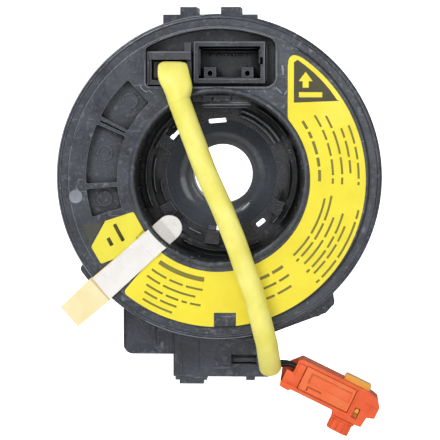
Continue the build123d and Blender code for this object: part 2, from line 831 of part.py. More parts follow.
# ---------------------------------------------------------------- labels
with BuildPart() as ring_label:
    with BuildSketch(facing(disc_front)) as label:
        Circle(label_outer)
        Circle(label_inner, mode=Mode.SUBTRACT)
        with Locations((label_edge_x, 0)):
            Rectangle(200, 100, align=(Align.MAX, Align.MIN), mode=Mode.SUBTRACT)
        with BuildLine():
            Polyline(
                (0, 0),
                (-100, 0),
                polar(100, label_end_angle),
                (0, 0),
            )
        make_face(mode=Mode.SUBTRACT)
        notch_width = label_notch_x[1] - label_notch_x[0]
        with Locations((sum(label_notch_x) / 2, -label_outer)):
            Rectangle(notch_width, 2 * label_notch_depth, mode=Mode.SUBTRACT)
        fillet(label.vertices(), 0.9)
    extrude(amount=label_film)
save(ring_label.part, "ring_label")

with BuildPart() as code_label:
    with BuildSketch(facing(disc_front)) as tag:
        with BuildLine():
            Polyline(*code_label_corners, close=True)
        make_face()
        fillet(tag.vertices(), 0.8)
        Circle(label_outer, mode=Mode.INTERSECT)
        Circle(bead_radius + code_label_inset, mode=Mode.SUBTRACT)
    extrude(amount=label_film)
    with BuildSketch(over_strip(disc_front)):
        with Locations((strip_slot[1] + 1.0, 0)):
            Rectangle(6, strip_width_out, align=(Align.MAX, Align.CENTER))
    extrude(amount=label_film + 1, mode=Mode.SUBTRACT)
save(code_label.part, "code_label")

# ---------------------------------------------------------------- lock strip
along, across = polar(1, strip_angle), polar(1, strip_angle + 90)
strip_plane = Plane(
    origin=(strip_offset * across[0], 0, strip_offset * across[1]),
    x_dir=(along[0], 0, along[1]),
    z_dir=(across[0], 0, across[1]),
)  # local x out along the strip, local y to the column side
strip_end = disc_radius + strip_tab_reach
with BuildPart() as lock_strip:
    with BuildSketch(strip_plane.offset(-strip_width_out / 2)):
        with BuildLine():
            slot_x = sum(strip_slot) / 2
            FilletPolyline(
                (disc_radius, strip_face - strip_film / 2),
                (slot_x + 1.2, strip_face - strip_film / 2),
                (slot_x - 0.9, disc_back + 0.4),
                (recess_radius - 3.0, strip_tongue_y),
                (strip_tongue, strip_tongue_y + 0.6),
                radius=1.5,
            )
        trace(line_width=strip_film)
    extrude(amount=strip_width_out)
    # its outline from the wheel side: wider at the rim, round at the tongue
    with BuildSketch(over_strip(0)):
        with BuildLine():
            round_x = strip_tongue + strip_width_in / 2
            Polyline(
                (round_x, strip_width_in / 2),
                (strip_slot[1], strip_width_in / 2),
                (strip_end, strip_width_out / 2),
                (strip_end, -strip_width_out / 2),
                (strip_slot[1], -strip_width_in / 2),
                (round_x, -strip_width_in / 2),
            )
            ThreePointArc(
                (round_x, -strip_width_in / 2),
                (strip_tongue, 0),
                (round_x, strip_width_in / 2),
            )
        make_face()
    extrude(amount=100, mode=Mode.INTERSECT)
save(lock_strip.part, "lock_strip")

with BuildPart() as strip_tab:
    with BuildSketch(over_strip(strip_face)):
        with BuildLine():
            Polyline(
                (disc_radius, -strip_width_out / 2),
                (strip_end, -strip_tab_width / 2),
                (strip_end, strip_tab_width / 2),
                (disc_radius, strip_width_out / 2),
                close=True,
            )
        make_face()
    extrude(amount=strip_film)
save(strip_tab.part, "strip_tab")

# ---------------------------------------------------------------- lead plug and sleeve
with BuildPart() as lead_plug:
    plug_gap = block_wall + seat_gap
    plug_z = (lead_z[0] + plug_gap, retainer_z[0] - seat_gap)
    block(
        (lead_x[0] + plug_gap, lead_x[1] - plug_gap),
        (lead_plug_front, lead_plug_front + lead_plug_depth),
        plug_z,
    )
    front_edges = lead_plug.faces().sort_by(Axis.Y)[0].edges()
    chamfer(front_edges, min(lead_plug_chamfer, (plug_z[1] - plug_z[0]) / 4))
save(lead_plug.part, "lead_plug")

with BuildPart() as plug_retainer:
    block(retainer_x, retainer_y, retainer_z)
    block(
        (retainer_x[1] - retainer_post, retainer_x[1]),
        retainer_y,
        (retainer_z[0], retainer_top),
    )
    for leg_x in (lead_x[0] + plug_gap, lead_x[1] - plug_gap - retainer_post):
        block(
            (leg_x, leg_x + retainer_post),
            (retainer_y[0] + 0.5, lead_plug_front + 0.4),
            (retainer_z[0], lead_z[1] - block_wall - seat_gap),
        )
save(plug_retainer.part, "plug_retainer")

with BuildPart() as sleeve_flare:
    for x, y, z, pitch, width, thickness in flare_sections:
        lean = radians(pitch)
        section = Plane(origin=(x, y, z), x_dir=(1, 0, 0), z_dir=(0, -cos(lean), -sin(lean)))
        with BuildSketch(section):
            Ellipse(width / 2, thickness / 2)
    start, after = Vector(*sleeve_route[0]), Vector(*sleeve_route[1])
    with BuildSketch(Plane(origin=start, x_dir=(1, 0, 0), z_dir=after - start)):
        Circle(sleeve_diameter / 2)
    loft()
save(sleeve_flare.part, "sleeve_flare")

print("lead_sleeve")
sleeve_end, sleeve_before = Vector(*sleeve_route[-1]), Vector(*sleeve_route[-2])
with BuildPart() as lead_sleeve:
    add(tube(sleeve_route, sleeve_diameter))
    # its open end, which the wires leave
    with BuildSketch(Plane(origin=sleeve_end, z_dir=sleeve_before - sleeve_end)):
        Circle(sleeve_bore / 2)
    extrude(amount=sleeve_bore_depth, mode=Mode.SUBTRACT)
save(lead_sleeve.part, "lead_sleeve")
for name, route in wire_routes.items():
    print(name)
    save(tube(route, wire_diameter), name)

# ---------------------------------------------------------------- squib plug
plug_lean = radians(plug_tilt)
plug_along = Vector(cos(plug_lean), 0, sin(plug_lean))
plug_across = Vector(-sin(plug_lean), 0, cos(plug_lean))


def plug_point(u, y, v):
    """The place of a point given along, through and across the squib plug."""
    return Vector(plug_corner[0], y, plug_corner[1]) + plug_along * u + plug_across * v


def beside_plug(y):
    """The plane at depth y in the plug's own directions: local x along the plug."""
    return Plane(origin=plug_point(0, y, 0), x_dir=plug_along, z_dir=(0, -1, 0))


def plug_block(u, y, v, mode=Mode.ADD):
    """A box between two values along, through and across the squib plug."""
    with BuildSketch(beside_plug(y[1])) as profile:
        with Locations(((u[0] + u[1]) / 2, (v[0] + v[1]) / 2)):
            Rectangle(u[1] - u[0], v[1] - v[0])
    extrude(profile.sketch, amount=y[1] - y[0], mode=mode)


plug_middle = sum(plug_y) / 2
nose_middle = sum(plug_nose_u) / 2
nose_width = plug_nose_u[1] - plug_nose_u[0]
nose_tip = -plug_height - plug_nose_drop
nose_root = plug_point(nose_middle, plug_middle, -plug_height + 1)
nose_plane = Plane(origin=nose_root, x_dir=plug_along, z_dir=-plug_across)
contact_places = [(0, side * contact_pitch / 2) for side in (-1, 1)]
contact_depth = plug_nose_drop
cover_back = plug_y[0] + cover_plate
cover_v = (-plug_height + cover_inset, -cover_inset)
lock_y = (plug_middle - lock_width / 2, plug_middle + lock_width / 2)
leg_y = (cover_back + seat_gap, lock_y[1] - 1.5)

with BuildPart() as squib_plug:
    with BuildSketch(beside_plug(plug_y[1])) as side:
        with BuildLine():
            Polyline(
                (0, 0),
                (-3.4, -3.8),
                (-4.6, -6.4),
                (-3.0, -plug_height - 0.5),
                (0, -plug_height - 0.7),
                (0.8, -plug_height),
                (plug_nose_u[0] - 1.2, -plug_height),
                (plug_nose_u[0], -plug_height - 1.2),
                (plug_nose_u[1], -plug_height - 1.2),
                (plug_nose_u[1] + 2.4, -plug_height - 1.0),
                (plug_nose_u[1] + 2.8, -plug_height + 2.6),
                (plug_length, -plug_height + 3.4),
                (plug_length, -3.2),
                (plug_length - 1.7, -0.8),
                (plug_nose_u[1] - 0.3, 0),
                close=True,
            )
        make_face()
        fillet(side.vertices(), plug_round / 2)
    extrude(amount=plug_y[1] - plug_y[0])
    with BuildSketch(nose_plane):
        RectangleRounded(nose_width, plug_nose_y, nose_width / 3)
    extrude(amount=plug_nose_drop + 1)
    # open mouth for the wires, and the seat of the front cover
    mouth_v = (-plug_height + plug_wall, -plug_wall)
    plug_block((-6, cover_u[0]), (plug_y[0] - 1, plug_y[1] - plug_wall), mouth_v, Mode.SUBTRACT)
    throat_v = (-plug_height / 2 - 2.2, -plug_height / 2 + 3.0)
    throat_y = (cover_back, plug_y[1] - 2 * plug_wall)
    plug_block((0, throat_reach), throat_y, throat_v, Mode.SUBTRACT)
    plug_block(cover_u, (plug_y[0] - 1, cover_back), cover_v, Mode.SUBTRACT)
    # guide of the lock bar and of its leg
    guide_u = (lock_u[0] - seat_gap, lock_u[1] + seat_gap)
    guide_y = (lock_y[0] - seat_gap, lock_y[1] + seat_gap)
    guide_v = (-lock_depth - lock_travel - seat_gap, 1)
    plug_block(guide_u, guide_y, guide_v, Mode.SUBTRACT)
    leg_u = (lock_leg_u[0] - seat_gap, lock_leg_u[1] + seat_gap)
    leg_guide_y = (leg_y[0] - seat_gap, leg_y[1] + seat_gap)
    leg_guide_v = (lock_leg_v - lock_travel - seat_gap, 1)
    plug_block(leg_u, leg_guide_y, leg_guide_v, Mode.SUBTRACT)
    window_v = (lock_leg_v, lock_leg_v + 3.6)
    plug_block(leg_u, (plug_y[0] - 1, leg_y[0]), window_v, Mode.SUBTRACT)
    # contact bores in the tip of the nose
    with BuildSketch(nose_plane.offset(plug_nose_drop + 1)):
        with Locations(*contact_places):
            Circle(contact_radius + seat_gap)
    extrude(amount=-contact_depth, mode=Mode.SUBTRACT)
save(squib_plug.part, "squib_plug")

with BuildPart() as squib_contacts:
    with BuildSketch(nose_plane.offset(plug_nose_drop + 1 - contact_depth)):
        with Locations(*contact_places):
            Circle(contact_radius)
            Circle(contact_radius * 0.6, mode=Mode.SUBTRACT)
    extrude(amount=contact_depth - 0.8)
save(squib_contacts.part, "squib_contacts")

with BuildPart() as squib_plug_cover:
    inner_u = (cover_u[0] + seat_gap, cover_u[1] - seat_gap)
    inner_v = (cover_v[0] + seat_gap, cover_v[1] - seat_gap)
    plug_block(inner_u, (plug_y[0], cover_back), inner_v)
    outer_face = squib_plug_cover.faces().sort_by(Axis.Y)[0]
    chamfer(outer_face.edges(), 0.3)
    # long sunk panel and the short hooked groove under it
    panel_u = (inner_u[0] + 2.2, inner_u[1] - 0.8)
    panel_y = (plug_y[0] - 1, plug_y[0] + cover_plate / 2)
    plug_block(panel_u, panel_y, (cover_v[1] - 5.0, cover_v[1] - 1.6), Mode.SUBTRACT)
    hook_u, hook_v = inner_u[0] + 2.6, cover_v[1] - 6.0
    plug_block((hook_u, hook_u + 5.2), panel_y, (hook_v - 0.5, hook_v), Mode.SUBTRACT)
    plug_block((hook_u, hook_u + 0.5), panel_y, (hook_v - 1.7, hook_v), Mode.SUBTRACT)
save(squib_plug_cover.part, "squib_plug_cover")

with BuildPart() as squib_lock:
    plug_block(lock_u, lock_y, (-lock_depth, lock_rise))
    fillet(squib_lock.edges().filter_by(Axis.Y), plug_round)
    plug_block(lock_leg_u, leg_y, (lock_leg_v, -lock_depth + 0.5))
save(squib_lock.part, "squib_lock")
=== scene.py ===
"""Visual model of a steering clock spring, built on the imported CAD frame.

Lengths are millimetres in the piece definitions and are turned into metres where meshes
are made. X is right, Z is up and the steering axis is Y, with the wheel side at -Y.
"""

from __future__ import annotations

import logging
import math
from collections.abc import Callable, Sequence
from dataclasses import astuple, dataclass
from enum import Enum
from functools import partial

import bmesh
import bpy
from mathutils import Matrix, Vector

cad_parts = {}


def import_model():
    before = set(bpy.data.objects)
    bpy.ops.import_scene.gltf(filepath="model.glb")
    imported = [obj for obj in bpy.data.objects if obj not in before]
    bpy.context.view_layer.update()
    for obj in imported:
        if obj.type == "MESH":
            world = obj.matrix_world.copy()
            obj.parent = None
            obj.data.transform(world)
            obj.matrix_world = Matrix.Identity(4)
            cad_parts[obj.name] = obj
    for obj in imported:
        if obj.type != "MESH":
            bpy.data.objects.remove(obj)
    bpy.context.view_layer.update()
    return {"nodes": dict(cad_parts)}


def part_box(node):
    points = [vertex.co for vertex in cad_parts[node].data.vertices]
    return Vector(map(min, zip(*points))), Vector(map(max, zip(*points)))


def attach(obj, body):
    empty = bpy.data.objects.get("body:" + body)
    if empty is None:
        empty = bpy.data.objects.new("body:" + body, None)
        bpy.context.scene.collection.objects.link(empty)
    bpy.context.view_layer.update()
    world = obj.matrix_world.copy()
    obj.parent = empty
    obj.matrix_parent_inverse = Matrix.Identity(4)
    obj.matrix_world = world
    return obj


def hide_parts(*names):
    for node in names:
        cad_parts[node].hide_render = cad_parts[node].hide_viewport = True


LOG = logging.getLogger("clock_spring")
MM = 0.001
RGB = tuple[float, float, float]
Point = tuple[float, float]
Span = tuple[float, float]

# Depths of the CAD solids' faces, in millimetres
DISC_FRONT = -34.0
LABEL_FACE = -34.15
BORDER_FACE = -34.3
HUB_FACE = -12.0
BRACKET_FACE = -20.0


class Body(str, Enum):
    """The rigid bodies of the CAD frame."""

    STATOR = "stator"
    ROTOR = "rotor"
    LOCK = "lock_bar"


def tint(code: str) -> RGB:
    """Turn a hex screen colour into linear light.

    Args:
        code: Six hex digits.

    Returns:
        Red, green and blue in linear light.
    """
    parts = (int(code[i : i + 2], 16) / 255 for i in (0, 2, 4))
    return tuple(p / 12.92 if p <= 0.04045 else ((p + 0.055) / 1.055) ** 2.4 for p in parts)


# ------------------------------------------------------------------ shader expressions
class Wire:
    """A shader socket that takes part in arithmetic."""

    def __init__(self, graph: Graph, socket: bpy.types.NodeSocket) -> None:
        """Hold a socket of a graph."""
        self.graph = graph
        self.socket = socket

    def __add__(self, other: object) -> Wire:
        """Sum."""
        return self.graph.math("ADD", self, other)

    __radd__ = __add__

    def __mul__(self, other: object) -> Wire:
        """Product."""
        return self.graph.math("MULTIPLY", self, other)

    __rmul__ = __mul__

    def __sub__(self, other: object) -> Wire:
        """Difference."""
        return self.graph.math("SUBTRACT", self, other)

    def __rsub__(self, other: object) -> Wire:
        """Difference, with the wire on the right."""
        return self.graph.math("SUBTRACT", other, self)

    def ease(self, low: float, high: float) -> Wire:
        """Go smoothly from 0 to 1.

        Args:
            low: Value that gives 0.
            high: Value that gives 1.

        Returns:
            The eased value.
        """
        values = {"Value": self, "From Min": low, "From Max": high}
        node = self.graph.node("ShaderNodeMapRange", values, interpolation_type="SMOOTHSTEP")
        return Wire(self.graph, node.outputs["Result"])


class Graph:
    """A material's node tree, written as expressions."""

    def __init__(self, name: str) -> None:
        """Start an empty material.

        Args:
            name: Material name.
        """
        self.material = bpy.data.materials.new(name)
        self.material.use_nodes = True
        self.tree = self.material.node_tree
        self.tree.nodes.clear()

    def node(
        self, kind: str, values: dict[str | int, object] | None = None, **settings: object
    ) -> bpy.types.Node:
        """Add a node.

        Args:
            kind: Node type.
            values: Values or wires of its inputs, by name or index.
            settings: Its settings, by attribute name, which are set first.

        Returns:
            The node.
        """
        made = self.tree.nodes.new(kind)
        for key, value in settings.items():
            setattr(made, key, value)
        for key, value in (values or {}).items():
            self.join(value, made.inputs[key])
        return made

    def join(self, value: object, socket: bpy.types.NodeSocket) -> None:
        """Feed an input.

        Args:
            value: A wire, number or colour, or None to leave the input as it is.
            socket: The input.
        """
        if isinstance(value, Wire):
            self.tree.links.new(value.socket, socket)
        elif value is not None:
            socket.default_value = (*value[:3], 1.0) if socket.type == "RGBA" else value

    def math(self, kind: str, left: object, right: object = None) -> Wire:
        """Work out one scalar operation.

        Args:
            kind: The operation.
            left: First value.
            right: Second value, if it takes one.

        Returns:
            The result.
        """
        node = self.node("ShaderNodeMath", {0: left, 1: right}, operation=kind)
        return Wire(self, node.outputs[0])

    def place(self, stretch: RGB = (1, 1, 1), turn: float = 0.0) -> Wire:
        """Read the object coordinates.

        Args:
            stretch: Factors along the axes.
            turn: Turn round Y in degrees.

        Returns:
            The stretched and turned coordinates.
        """
        values = {
            "Vector": Wire(self, self.node("ShaderNodeTexCoord").outputs["Object"]),
            "Scale": stretch,
            "Rotation": (0, math.radians(turn), 0),
        }
        return Wire(self, self.node("ShaderNodeMapping", values).outputs["Vector"])

    def axis(self, name: str) -> Wire:
        """Read one object coordinate.

        Args:
            name: X, Y or Z.

        Returns:
            The coordinate in millimetres.
        """
        values = {"Vector": self.place((1000, 1000, 1000))}
        return Wire(self, self.node("ShaderNodeSeparateXYZ", values).outputs[name])

    def radius(self) -> Wire:
        """Distance from the steering axis in millimetres."""
        x, z = self.axis("X"), self.axis("Z")
        return self.math("SQRT", x * x + z * z)

    def noise(
        self, size: float, detail: float = 3, stretch: RGB = (1, 1, 1), turn: float = 0.0
    ) -> Wire:
        """Soft noise.

        Args:
            size: Size of its features in millimetres.
            detail: Octaves.
            stretch: Factors on the coordinates along the axes.
            turn: Turn of the coordinates round Y in degrees.

        Returns:
            Values round one half.
        """
        values = {"Vector": self.place(stretch, turn), "Scale": 1000 / size, "Detail": detail}
        return Wire(self, self.node("ShaderNodeTexNoise", values).outputs["Fac"])

    def scratches(self) -> Wire:
        """Draw fine straight scuffs in three directions.

        Returns:
            Near 1 on a scuff and 0 elsewhere.
        """
        total = None
        for turn, size in ((25, 0.5), (-50, 0.4), (80, 0.6)):
            line = self.noise(size, 2, (0.05, 1, 1), turn).ease(0.66, 0.74)
            line = line * self.noise(size * 9, 2, turn=turn).ease(0.5, 0.62)
            total = line if total is None else total + line
        return total

    def cells(self, size: float) -> Wire:
        """Scatter points, for grain and specks.

        Args:
            size: Their spacing in millimetres.

        Returns:
            Distance to the nearest point.
        """
        values = {"Vector": self.place(), "Scale": 1000 / size}
        return Wire(self, self.node("ShaderNodeTexVoronoi", values).outputs["Distance"])

    def mix(self, share: object, first: object, second: object) -> Wire:
        """Blend two colours.

        Args:
            share: Share of the second colour.
            first: First colour.
            second: Second colour.

        Returns:
            The blend.
        """
        values = {0: share, 6: first, 7: second}
        return Wire(self, self.node("ShaderNodeMix", values, data_type="RGBA").outputs[2])

    def edges(self, radius: float) -> Wire:
        """Find sharp edges.

        Args:
            radius: How far from an edge still counts, in millimetres.

        Returns:
            Near 1 on edges and 0 on flats.
        """
        plain = self.node("ShaderNodeNewGeometry").outputs["Normal"]
        values = {0: self.rounded(radius, 4), 1: Wire(self, plain)}
        dot = self.node("ShaderNodeVectorMath", values, operation="DOT_PRODUCT")
        return (1.0 - Wire(self, dot.outputs["Value"])).ease(0.02, 0.3)

    def rounded(self, radius: float, samples: int = 6) -> Wire:
        """Round the normal over sharp edges.

        Args:
            radius: Radius of the rounding in millimetres.
            samples: How finely it is worked out.

        Returns:
            The normal.
        """
        values = {"Radius": radius * MM}
        return Wire(self, self.node("ShaderNodeBevel", values, samples=samples).outputs[0])

    def bump(self, height: Wire, depth: float, base: Wire) -> Wire:
        """Give the surface relief.

        Args:
            height: The relief.
            depth: Its depth in millimetres.
            base: The normal it starts from.

        Returns:
            The normal.
        """
        values = {"Distance": depth * MM, "Height": height, "Normal": base}
        return Wire(self, self.node("ShaderNodeBump", values).outputs[0])

    def hollow(self, reach: float) -> Wire:
        """Find corners and hollows.

        Args:
            reach: How far their walls may be, in millimetres.

        Returns:
            Near 0 in a hollow and near 1 in the open.
        """
        values = {"Distance": reach * MM}
        return Wire(self, self.node("ShaderNodeAmbientOcclusion", values, samples=6).outputs["AO"])

    def seen(self) -> Wire:
        """1 for what the camera sees directly, 0 for light that falls on other things."""
        return Wire(self, self.node("ShaderNodeLightPath").outputs["Is Camera Ray"])

    def surface(self, **inputs: object) -> bpy.types.Material:
        """Close the graph with a principled surface.

        Args:
            inputs: Values and wires of its inputs, with _ for each space in a name.

        Returns:
            The material.
        """
        values = {key.replace("_", " "): value for key, value in inputs.items()}
        shader = self.node("ShaderNodeBsdfPrincipled", values)
        self.node("ShaderNodeOutputMaterial", {"Surface": Wire(self, shader.outputs[0])})
        return self.material


@dataclass(frozen=True)
class Finish:
    """How a moulded, printed or drawn surface looks.

    Attributes:
        name: Material name.
        base: Main colour, as hex.
        other: Colour of slow variation, as hex.
        wear_highlight_colour: Colour of specks, scuffs and worn edges, and of the painted
            highlight along edges, as hex.
        rough: Roughness.
        grain: Size of the surface grain in millimetres.
        relief: Depth of the grain in millimetres.
        round: Radius that edges are rounded to, in millimetres.
        metal: Metallic share.
        clear: Share of light that passes.
        coat: Clear coat share.
        sheen: Fabric sheen share.
        inner: Subsurface share.
        scuff: Strength of scratches and mottling.
        edge_wear_highlight: Strength of whitened edges, which are partly wear and partly painted
            highlight.
        painted_shading_zone: Radius round the steering axis in millimetres, and the colour painted
            within it, which stands for shade on the disc and for light on the hub.
        shade: Reach in millimetres over which corners and hollows get painted shade.
    """

    name: str
    base: str
    other: str
    wear_highlight_colour: str
    rough: float = 0.5
    grain: float = 0.35
    relief: float = 0.02
    round: float = 0.3
    metal: float = 0.0
    clear: float = 0.0
    coat: float = 0.0
    sheen: float = 0.0
    inner: float = 0.0
    scuff: float = 0.3
    edge_wear_highlight: float = 0.6
    painted_shading_zone: tuple[float, str] | None = None
    shade: float = 0.0

    def make(self) -> bpy.types.Material:
        """Build the material.

        Returns:
            A node material that reads object coordinates only.
        """
        graph = Graph(self.name)
        cloud = graph.noise(9.0, 4).ease(0.35, 0.7)
        # whitened edges: partly real wear, partly painted highlight where edges catch the light
        edge = graph.edges(0.3)
        edge_wear_highlight = edge * (0.35 + 0.65 * graph.noise(2.2, 5).ease(0.35, 0.6))
        speck = graph.noise(0.8, 3).ease(0.48, 0.72)
        mottle = graph.noise(1.6, 8).ease(0.52, 0.8) * graph.noise(14, 3).ease(0.35, 0.6)
        scuff = graph.scratches()
        colour = graph.mix(cloud, tint(self.base), tint(self.other))
        # painted light and shade: a flat colour within a radius round the axis stands in for shade
        # in the disc's recess and for light in the hub's bowl
        if self.painted_shading_zone:
            within = 1.0 - graph.radius().ease(self.painted_shading_zone[0] - 0.3, self.painted_shading_zone[0])
            colour = graph.mix(within, colour, tint(self.painted_shading_zone[1]))
        colour = graph.mix(speck * (0.1 * self.scuff), colour, tint(self.wear_highlight_colour))
        colour = graph.mix(mottle * (0.5 * self.scuff), colour, tint(self.wear_highlight_colour))
        colour = graph.mix(scuff * (0.45 * self.scuff), colour, tint(self.wear_highlight_colour))
        colour = graph.mix(edge_wear_highlight * self.edge_wear_highlight, colour, tint(self.wear_highlight_colour))
        rough = self.rough + (graph.noise(3.5, 4) - 0.5) * (0.15 + 0.3 * self.scuff)
        if self.shade:
            # painted shade: the colour goes to near black in corners and hollows, where shade
            # falls
            open_to_light = graph.hollow(self.shade).ease(0.12, 0.88)
            colour = graph.mix(open_to_light, tint("040506"), colour)
            rough = rough + (1.0 - open_to_light) * 0.5
        rough = rough + scuff * 0.15 - mottle * 0.1
        height = graph.cells(self.grain) * 0.6 + graph.noise(self.grain * 2.5, 3)
        height = height - scuff * 0.5 + graph.noise(4.0, 3) * self.scuff
        normal = graph.bump(height, self.relief, graph.rounded(self.round))
        return graph.surface(
            Base_Color=colour,
            Roughness=rough,
            Metallic=self.metal,
            Normal=normal,
            Transmission_Weight=self.clear,
            Coat_Weight=self.coat,
            Sheen_Weight=self.sheen,
            Subsurface_Weight=self.inner,
            Subsurface_Scale=1.5 * MM,
        )


FINISHES = {
    "case": Finish(
        "case_black",
        "3d414b",
        "2b2f37",
        "9a9eaa",
        0.3,
        0.3,
        0.02,
        scuff=1.1,
        edge_wear_highlight=1.0,
        shade=4.0,
    ),
    "disc": Finish(
        "disc_black",
        "41454d",
        "2e3138",
        "9a9eaa",
        0.32,
        0.28,
        0.018,
        scuff=0.9,
        edge_wear_highlight=0.8,
        # painted shade: near-black colour inside radius 28.1, over the recess and the bead's inner
        # half
        painted_shading_zone=(28.1, "191b1f"),
        shade=4.0,
    ),
    "socket": Finish(
        "socket_black",
        "30343c",
        "24272d",
        "9094a0",
        0.32,
        0.3,
        0.015,
        scuff=0.7,
        edge_wear_highlight=0.8,
        shade=4.0,
    ),
    "hub": Finish(
        "hub_black",
        "22242a",
        "1b1d21",
        "8a8e97",
        0.22,
        0.4,
        0.02,
        coat=0.3,
        scuff=0.4,
        edge_wear_highlight=1.0,
        # painted light: lighter colour inside radius 18.7, over the hub's deep bowl
        painted_shading_zone=(18.7, "4f535a"),
        shade=4.0,
    ),
    "grey": Finish(
        "grey_shell",
        "3d4047",
        "33363c",
        "8e929a",
        0.36,
        0.3,
        0.012,
        scuff=0.6,
        edge_wear_highlight=1.0,
        shade=4.0,
    ),
    # painted highlight: light grey for thin lines and edges where the light catches
    "shine": Finish("painted_edge_highlight", "888d97", "747882", "b4b8c0", 0.3, 0.3, 0.008, edge_wear_highlight=0.4),
    # painted shadow: near black for thin strips that stand in for shade in slots and along the
    # label's edge
    "deep": Finish("painted_shadow_line", "0d0e10", "121316", "2c2e33", 0.5, 0.3, 0.01, edge_wear_highlight=0.2),
    "yellow_shell": Finish("yellow_shell", "b8950e", "a8860c", "f3e08a", 0.42),
    "orange": Finish("orange_shell", "ef6834", "ea5a28", "ff9f60", 0.5, 0.35, 0.01, inner=0.1),
    "orange_cover": Finish(
        "orange_cover", "f17a42", "ef6c34", "ffb07a", 0.48, 0.35, 0.01, inner=0.1
    ),
    "lock": Finish("lock_yellow", "efae42", "e8a236", "ffd878", 0.3, coat=0.2, inner=0.15),
    "tin": Finish("contact_tin", "b8ae98", "9c927c", "e2dccb", 0.28, 0.5, 0.004, metal=1.0),
    "label": Finish("label_yellow", "f5e42c", "efdd22", "faf0a0", 0.36, 1.2, 0.006, coat=0.15),
    "olive": Finish("print_olive", "3c3a20", "454226", "5d571f", 0.4, 1.2, 0.004),
    "print": Finish("print_black", "79742a", "827c2e", "6a6626", 0.45, 0.8, 0.004),
    "code": Finish("code_label", "ece040", "e6d934", "f4efa0", 0.4, 1.0, 0.006),
    "cream": Finish("cream_label", "f7e8ba", "f0dfa4", "fbf3d8", 0.5, 0.9, 0.01),
    # painted shade: a darker cream for the line along the tab's fold
    "fold": Finish("tab_fold", "d8c596", "c6b07c", "ecdcb4", 0.5, 0.9, 0.01),
    "film": Finish("strip_film", "fbf8f6", "f4efec", "ffffff", 0.24, 2.0, 0.02, clear=0.12),
    "smoke": Finish("smoke_film", "55564c", "4c4d44", "70716a", 0.3, 1.5, 0.01, clear=0.3),
    "slip": Finish("slip_film", "c9cbc4", "bcbeb6", "e0e2dc", 0.3, 1.5, 0.01, clear=0.4),
    "cable": Finish("ribbon_cable", "b98c46", "a87b38", "d8b878", 0.3, 1.0, 0.006, coat=0.3),
    "sleeve": Finish(
        "vinyl_sleeve", "f8f082", "ece466", "faf8c0", 0.46, 0.7, 0.03, inner=0.15, edge_wear_highlight=0.1
    ),
    "wire": Finish("wire_vinyl", "2c2c2e", "3a3a3c", "5c5c5e", 0.4, 0.5, 0.01),
}

NODE_FINISH = {
    "rotor_disc": "disc",
    "connector_block": "socket",
    "switch_pins": "tin",
    "rotor_hub": "hub",
    "cancel_cam": "grey",
    "cable_plate": "case",
    "front_slip_sheet": "slip",
    "rear_slip_sheet": "slip",
    "flat_cable": "cable",
    "inner_lead_block": "grey",
    "outer_lead_block": "grey",
    "stator_case": "case",
    "bracket_cover": "case",
    "harness_header": "grey",
    "harness_pins": "tin",
    "airbag_header": "yellow_shell",
    "airbag_pins": "tin",
    "ring_label": "label",
    "code_label": "code",
    "lock_strip": "film",
    "strip_tab": "cream",
    "lead_plug": "socket",
    "plug_retainer": "grey",
    "sleeve_flare": "sleeve",
    "squib_plug": "orange",
    "squib_contacts": "tin",
    "squib_plug_cover": "orange_cover",
    "squib_lock": "lock",
}


# ------------------------------------------------------------------ meshes
def new_object(name: str, data: bpy.types.ID) -> bpy.types.Object:
    """Link data into the scene as an object.

    Args:
        name: Object name.
        data: Mesh, curve or light.

    Returns:
        The linked object.
    """
    made = bpy.data.objects.new(name, data)
    bpy.context.scene.collection.objects.link(made)
    return made


def smooth(data: bpy.types.Mesh, degrees: float) -> None:
    """Shade a mesh smoothly, apart from its sharp edges.

    Args:
        data: The mesh.
        degrees: Angle from which an edge counts as sharp.
    """
    work = bmesh.new()
    work.from_mesh(data)
    limit = math.radians(degrees)
    for face in work.faces:
        face.smooth = True
    for edge in work.edges:
        edge.smooth = len(edge.link_faces) == 2 and edge.calc_face_angle(0.0) < limit
    work.to_mesh(data)
    work.free()


def kept_mesh(work: bmesh.types.BMesh, name: str, degrees: float | None = None) -> bpy.types.Mesh:
    """Keep a work mesh as a mesh.

    Args:
        work: The work mesh, freed here.
        name: Mesh name.
        degrees: Angle from which an edge stays sharp, or None for flat shading.

    Returns:
        The mesh.
    """
    made = bpy.data.meshes.new(name)
    work.to_mesh(made)
    work.free()
    if degrees is not None:
        smooth(made, degrees)
    return made


@dataclass
class Studio:
    """Makes pieces, gives them materials and puts them on their bodies.

    Attributes:
        materials: Material of each finish, by the finish's key.
    """

    materials: dict[str, bpy.types.Material]

    def piece(
        self, name: str, data: bpy.types.ID, body: Body, finish: str, slot: str
    ) -> bpy.types.Object:
        """Add a piece that rides on a body.

        Args:
            name: Piece name.
            data: Its mesh.
            body: The body that carries it.
            finish: Key of its finish.
            slot: Material slot of the record; not used.

        Returns:
            The piece.
        """
        made = new_object(name, data)
        data.materials.append(self.materials[finish])
        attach(made, body.value)
        LOG.info("piece %s on %s in %s", name, body.value, finish)
        return made

    def dress_nodes(self, nodes: dict[str, bpy.types.Object]) -> None:
        """Give each CAD node its material.

        Args:
            nodes: CAD nodes by name.
        """
        for name, finish in NODE_FINISH.items():
            data = nodes[name].data
            data.materials.clear()
            data.materials.append(self.materials[finish])
            LOG.info("node %s in %s", name, finish)


